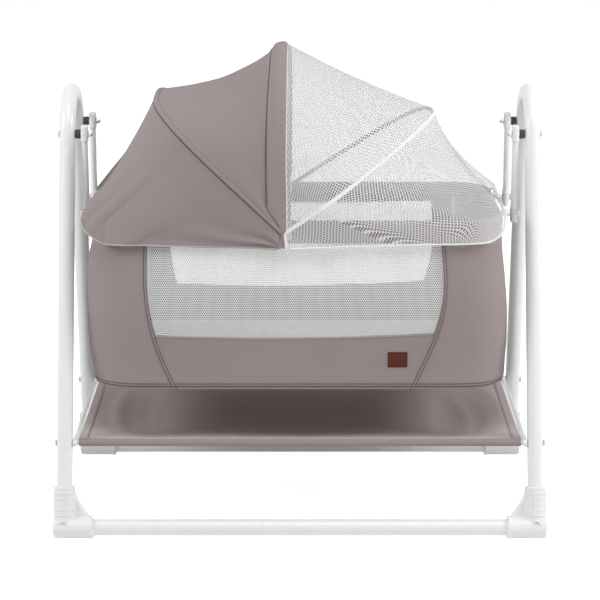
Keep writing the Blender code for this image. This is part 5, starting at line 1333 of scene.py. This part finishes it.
def bentPiece(name, points, share, finish, bodies, replaces=(), wall=0.0):
    # a panel that keeps each point's share of the way between two bows as its bend value; with one body it is
    # attached to it, with two it is baked where it stands
    span = np.linalg.norm(np.diff(points, axis=1), axis=2)
    middle = points[:, points.shape[1] // 2]
    # the weave or net is drawn closer behind and turned by 20 degrees, so that its two halves don't beat
    closer = 1 + 0.8 * smooth01(middle[:, 1] / 0.15)
    along = summed(np.diff(runLength(points[:, 0])) * (closer[1:] + closer[:-1]) / 2)[:, None]
    across = np.concatenate([np.zeros((len(points), 1)), np.cumsum(span, 1)], 1) * closer[:, None]
    uv = np.stack([along * 0.940 + across * 0.342, across * 0.940 - along * 0.342], -1)
    shape = gridShape(points, uv=uv)
    piece = makePiece(name, shape, finish, None, replaces, inside=within, wall=wall, bend=share)
    if len(bodies) == 2:
        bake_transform(piece)
        # each point's share between the two bows is read back from its bend value
        values = np.empty(len(piece.data.vertices), np.float32)
        piece.data.attributes["bend"].data.foreach_get("value", values)
    else:
        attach(piece, bodies[0])
    return piece


def bandOver(before, after, left, right, rise, columns=15, most=0.45):
    # a raised strip over a bow line, left metres back on one panel and right metres on over the next
    parts = []
    for panel, reach in ((before, left), (after, right)):
        span = np.linalg.norm(panel[1] - panel[0], axis=1)[:, None]
        steps = np.linspace(0, 1, columns)[None]
        reach = np.broadcast_to(reach, len(span))[:, None]
        share = np.minimum(steps * reach / np.maximum(span, 1e-6), most * steps)
        parts.append(panelAt(*panel[:3], share, *panel[3:]))
    points = eased(np.concatenate([parts[0][:, :0:-1], parts[1]], 1), 4, axis=1)
    edge = np.linspace(-1, 1, points.shape[1])
    height = (rise + 0.0006) * (1 - np.abs(edge) ** 8) - 0.0006
    return points + outward(points) * height[None, :, None]


def edgeTube(panel, reach, radius, lift=0.0003):
    # a thin seam line on a panel, reach metres from its first line
    span = np.linalg.norm(panel[1] - panel[0], axis=1)
    share = np.minimum(reach / np.maximum(span, 1e-6), 0.70)[:, None]
    points = panelAt(*panel[:3], np.concatenate([share, share + 0.02], 1), *panel[3:])
    path = points[:, 0] + outward(points)[:, 0] * lift
    return tube(path, radius, 8, (1, 0, 0.2))


def makeBowRod(name):
    # up from the eye, widening by a smooth step to the knee, and over the arch
    bow, start = bows[name], canopy["eyeStart"]
    up = start + (canopy["knee"] - start) * np.linspace(0, 1, 14, endpoint=False)
    y = bow["foot"] + (canopy["spread"] - bow["foot"]) * smooth01((up - 0.013) / 0.077)
    arches = [archLine(bow, half, 0, 60) for half in ("front", "rear")]
    path = bothHalves([np.concatenate([leaned(bow, y, up), leaned(bow, *arch.T)]) for arch in arches])
    rod = tube(path, canopy["rod"], 16, (1, 0, 0.3))
    loop = [(0.0043, 0), (0.0074, 0), (0.0080, 0.0006), (0.0080, 0.0044), (0.0074, 0.005), (0.0043, 0.005)]
    loop.append(loop[0])
    places = [(hub[0], edge * (bow["foot"] - canopy["eye"]), hub[2]) for edge in (-1, 1)]
    eyes = [turned(loop, place, (0, np.sign(place[1]), 0), 28) for place in places]
    makePiece(name + "_bow_rod", joinShapes(rod, *eyes), "greySteel", name + "_bow_turn", [name + "_bow"])
    if name == "right":
        sleeve = tube(path[12:-12], canopy["sleeve"], 16, (1, 0, 0.3))
        makePiece("right_bow_sleeve", sleeve, "whiteTape", "right_bow_turn")


def makeCanopy():
    for name in bows:
        makeBowRod(name)
    split, fan = canopy["split"], canopy["fan"]
    leftLine, middleLeft = coverLine("left", -split, -fan / 2), coverLine("middle", -split, 0)
    rightLine, middleRight = coverLine("right", split, fan / 2), coverLine("middle", split, 0)
    leftHem, rightHem = hemLine(-1, hub[0] - split - fan), hemLine(1, hub[0] + split + fan)
    leftRim, rightRim = rimLine(leftLine, leftHem), rimLine(rightLine, rightHem)
    rows = len(leftLine)
    row = np.linspace(-1, 1, rows)[:, None]  # -1 at the front hub, 0 over the top, 1 at the rear hub

    def spread(count):
        return (1 - np.cos(np.pi * np.linspace(0, 1, count))) / 2 + np.zeros((rows, 1))

    # cloth from the left bow over the rim to the hem, with soft folds that fan out and gather in the hem
    inner = spread(panelColumns["end"])
    outer = np.linspace(0, 1, panelColumns["rim"])[None] + np.zeros((rows, 1))
    points = endPanel(leftLine, leftRim, leftHem, sag["leftEnd"], inner, outer)
    down = np.concatenate([inner * aboveRim, aboveRim + (1 - aboveRim) * outer[:, 1:]], 1)
    away = 1 - np.abs(row)  # 0 at the hubs
    cornerFold = np.exp(-((np.abs(row) - 0.52) / 0.16) ** 2)
    high = folds["corner"] * waves(row * 34, down * 4) * down ** 1.3 * cornerFold
    high = high + folds["soft"] * waves(row * 13 + 2, down * 3) * np.sin(np.pi * down)
    nearHub = np.exp(-away / 0.11) * smooth01(away / 0.05)
    high = high + folds["hub"] * nearHub * np.sin(down * 15 - 0.9) * np.sin(np.pi * down)
    gather = np.sin(row * 170 + 2 * np.sin(row * 31)) * smooth01((down - 0.84) / 0.16) * (0.35 + cornerFold)
    # the puffed corner in front of the arms, with small pleats where it turns over the rim
    y = -points[..., 1]
    puff = smooth01((y - hemPlaces["arms"]) / 0.02) * smooth01((0.240 - y) / 0.05)
    puff = puff * smooth01((down - 0.60) / 0.22)
    lower = 1 - smooth01((down - 0.85) / 0.15)
    points[..., 0] -= puff * (folds["puff"] * lower + folds["pleat"] * np.sin(down * 62))
    points = points + outward(points) * (folds["proud"] + high + folds["gather"] * gather)[..., None]
    share = np.concatenate([1 - inner, 0 * outer[:, 1:]], 1)
    bodies = ("basket", "left_bow_turn")
    bentPiece("canopy_left_end", points, share, "taupeCloth", bodies, ["canopy_cloth"], canopy["wall"])
    leftEdge = points[:, -1]

    # cloth between the left and the middle bow, hollow like a tent panel, its folds running out from the hub
    s = spread(panelColumns["clothTop"])
    points = panelAt(leftLine, middleLeft, sag["left"], s, "last")
    near = np.exp(-away / 0.16) * smooth01(away / 0.04)
    high = folds["topHub"] * near * np.sin(s * 15 + 1.5 * row) + folds["topSoft"] * waves(s * 7, row * 6)
    points = points + outward(points) * (folds["proud"] + high * np.sin(np.pi * s))[..., None]
    bodies = ("left_bow_turn", "middle_bow_turn")
    bentPiece("canopy_left_top", points, s, "taupeCloth", bodies, wall=canopy["wall"])

    # net between the middle and the right bow, and on down to the hem
    s = spread(panelColumns["netTop"])
    endSag = (sag["rightEnd"] * (1 - 0.75 * smooth01((np.abs(row) - 0.30) / 0.30)))[:, :, None]
    points = panelAt(middleRight, rightLine, sag["right"], s)
    high = folds["netTop"] * waves(s * 6 + 1, row * 9) * np.sin(np.pi * s)
    points = points + outward(points) * (folds["netProud"] + high)[..., None]
    bodies = ("middle_bow_turn", "right_bow_turn")
    bentPiece("canopy_net_top", points, s, "canopyNet", bodies, ["canopy_net"])
    points = endPanel(rightLine, rightRim, rightHem, endSag, inner, outer)
    high = folds["netCorner"] * waves(row * 21 + 1, down * 3) * down * cornerFold
    high = high + folds["netSoft"] * waves(row * 12, down * 4) * np.sin(np.pi * down)
    points = points + outward(points) * (folds["netProud"] + high + folds["netGather"] * gather)[..., None]
    end = bentPiece("canopy_net_end", points, share, "canopyNet", ("right_bow_turn",))
    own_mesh(end)
    rightEdge = points[:, -3:]

    # casings, seams, tapes and hems, each as its shape, finish and body
    leftEnd, leftTop = (leftLine, leftRim, sag["leftEnd"]), (leftLine, middleLeft, sag["left"])
    topLeft, topRight = (middleLeft, leftLine, sag["left"], "first"), (middleRight, rightLine, sag["right"])
    rightTop, rightEnd = (rightLine, middleRight, sag["right"]), (rightLine, rightRim, endSag)
    wide = 0.0290 + 0.0130 * smooth01(np.abs(row[:, 0]) / 0.85)  # the middle casing widens towards its feet
    casing = bandOver(topLeft, topRight, wide, 0.0070, 0.0022, 20, 0.70)
    lining = bandOver(topLeft, topRight, 0.0100, 0.0180, -0.0012, 14)
    trims = {
        "left_bow_casing": (bandOver(leftEnd, leftTop, 0.0048, 0.0052, 0.0036), "taupeCloth", "left"),
        # the casing seams are thin tubes in the dark thread finish: stitching, with the shade of the seam
        # groove painted in
        "left_casing_seam": (edgeTube(leftEnd, 0.0060, 0.0009, 0.0012), "thread", "left"),
        "middle_bow_casing": (casing, "taupeCloth", "middle"),
        "middle_casing_lining": (lining, "taupeCloth", "middle"),
        "middle_casing_seam": (edgeTube(topLeft, wide + 0.0006, 0.0009, 0.0012), "thread", "middle"),
        "net_selvedge": (edgeTube(topRight, 0.0078, 0.0010, 0.0012), "whiteTape", "middle"),
        "right_bow_tape": (bandOver(rightTop, rightEnd, 0.0052, 0.0052, 0.0020), "whiteTape", "right"),
    }
    for name, (shape, finish, bow) in trims.items():
        # a band is an open sheet and faces outwards, a seam is a closed tube
        band = not isinstance(shape, tuple)
        shape = gridShape(shape) if band else shape
        makePiece(name, shape, finish, bow + "_bow_turn", inside=within if band else None)
    elastic = tube(leftEdge, 0.0015, 12, (0.2, 0.1, 1), flatten=1.2)
    makePiece("cloth_hem_elastic", elastic, "elastic", "basket")
    path = rightEdge[:, 1] * 0.7 + rightEdge[:, 2] * 0.3
    binding = tube(path, 0.0036, 12, (0.2, 0.1, 1), flatten=0.5)
    hem = makePiece("net_hem_binding", binding, "whiteTape", "right_bow_turn")
    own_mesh(hem)
    print("canopy built")


makeMattress()
makeCanopy()


# stage, camera and light

stage = {"camera": (0, -4.725, 1.590), "pitch": 76.53, "lens": 129.0, "white": 1.0, "world": 0.40,
    "floor": 0.80}
# each lamp's place, the side of its square and its power
lamps = {
    "right softbox": ((3.0, -1.0, 2.2), 1.2, 56.0),
    "left softbox": ((-3.0, -1.0, 2.2), 1.2, 45.0),
    "top softbox": ((0.4, -1.8, 4.0), 2.0, 48.0),
}


def cameraRays(tree):
    # 1 for rays from the camera, and for those that mirrors and glass show
    light = addNode(tree, "ShaderNodeLightPath").outputs
    seen = maths(tree, "ADD", light["Is Camera Ray"], light["Is Glossy Ray"])
    return maths(tree, "MINIMUM", maths(tree, "ADD", seen, light["Is Transmission Ray"]), 1.0)


def makeWorld():
    world = bpy.data.worlds.new("studio")
    scene.world = world
    world.use_nodes = True
    tree = world.node_tree
    tree.nodes.clear()
    lit = addNode(tree, "ShaderNodeBackground", {"Color": (0.97, 0.985, 1.0, 1), "Strength": stage["world"]})
    seen = addNode(tree, "ShaderNodeBackground", {"Color": (1, 1, 1, 1), "Strength": stage["white"]})
    mix = addNode(tree, "ShaderNodeMixShader", {0: cameraRays(tree), 1: lit.outputs[0], 2: seen.outputs[0]})
    addNode(tree, "ShaderNodeOutputWorld", {"Surface": mix.outputs[0]})


def makeFloor():
    # a matt floor that adds its own glow for the camera, so that it is white but keeps the shadow
    floor = bpy.data.materials.new("white studio floor")
    floor.use_nodes = True
    tree = floor.node_tree
    tree.nodes.clear()
    matt = addNode(tree, "ShaderNodeBsdfDiffuse", {"Color": (0.9, 0.9, 0.9, 1)})
    strength = maths(tree, "MULTIPLY", cameraRays(tree), stage["floor"])
    glow = addNode(tree, "ShaderNodeEmission", {"Color": (1, 1, 1, 1), "Strength": strength})
    both = addNode(tree, "ShaderNodeAddShader", {0: matt.outputs[0], 1: glow.outputs[0]})
    addNode(tree, "ShaderNodeOutputMaterial", {"Surface": both.outputs[0]})
    finishes["studioFloor"] = floor
    x, y = np.meshgrid(np.linspace(-9, 9, 19), np.linspace(-7, 11, 19))
    shape = gridShape(np.stack([x, y, np.zeros_like(x)], -1))
    makePiece("studio_floor", shape, "studioFloor", inside=(0, 0, -1))


def makeLamp(name, place, size, power):
    lamp = bpy.data.lights.new(name, "AREA")
    lamp.shape, lamp.size, lamp.energy = "SQUARE", size, power
    holder = bpy.data.objects.new(name, lamp)
    scene.collection.objects.link(holder)
    toward = np.array([0, 0, 0.5]) - place
    holder.location = place
    tilt, turn = np.arctan2(np.hypot(toward[0], toward[1]), -toward[2]), np.arctan2(toward[1], toward[0])
    holder.rotation_euler = (tilt, 0, turn - np.pi / 2)


def makeCamera():
    data = bpy.data.cameras.new("camera")
    data.sensor_width, data.lens = 36.0, stage["lens"]
    camera = bpy.data.objects.new("camera", data)
    scene.collection.objects.link(camera)
    camera.location = stage["camera"]
    camera.rotation_euler = (np.radians(stage["pitch"]), 0, 0)
    scene.camera = camera


makeWorld()
makeFloor()
for name, settings in lamps.items():
    makeLamp(name, *settings)
makeCamera()
scene.view_settings.view_transform = "Standard"
print("stage ready")
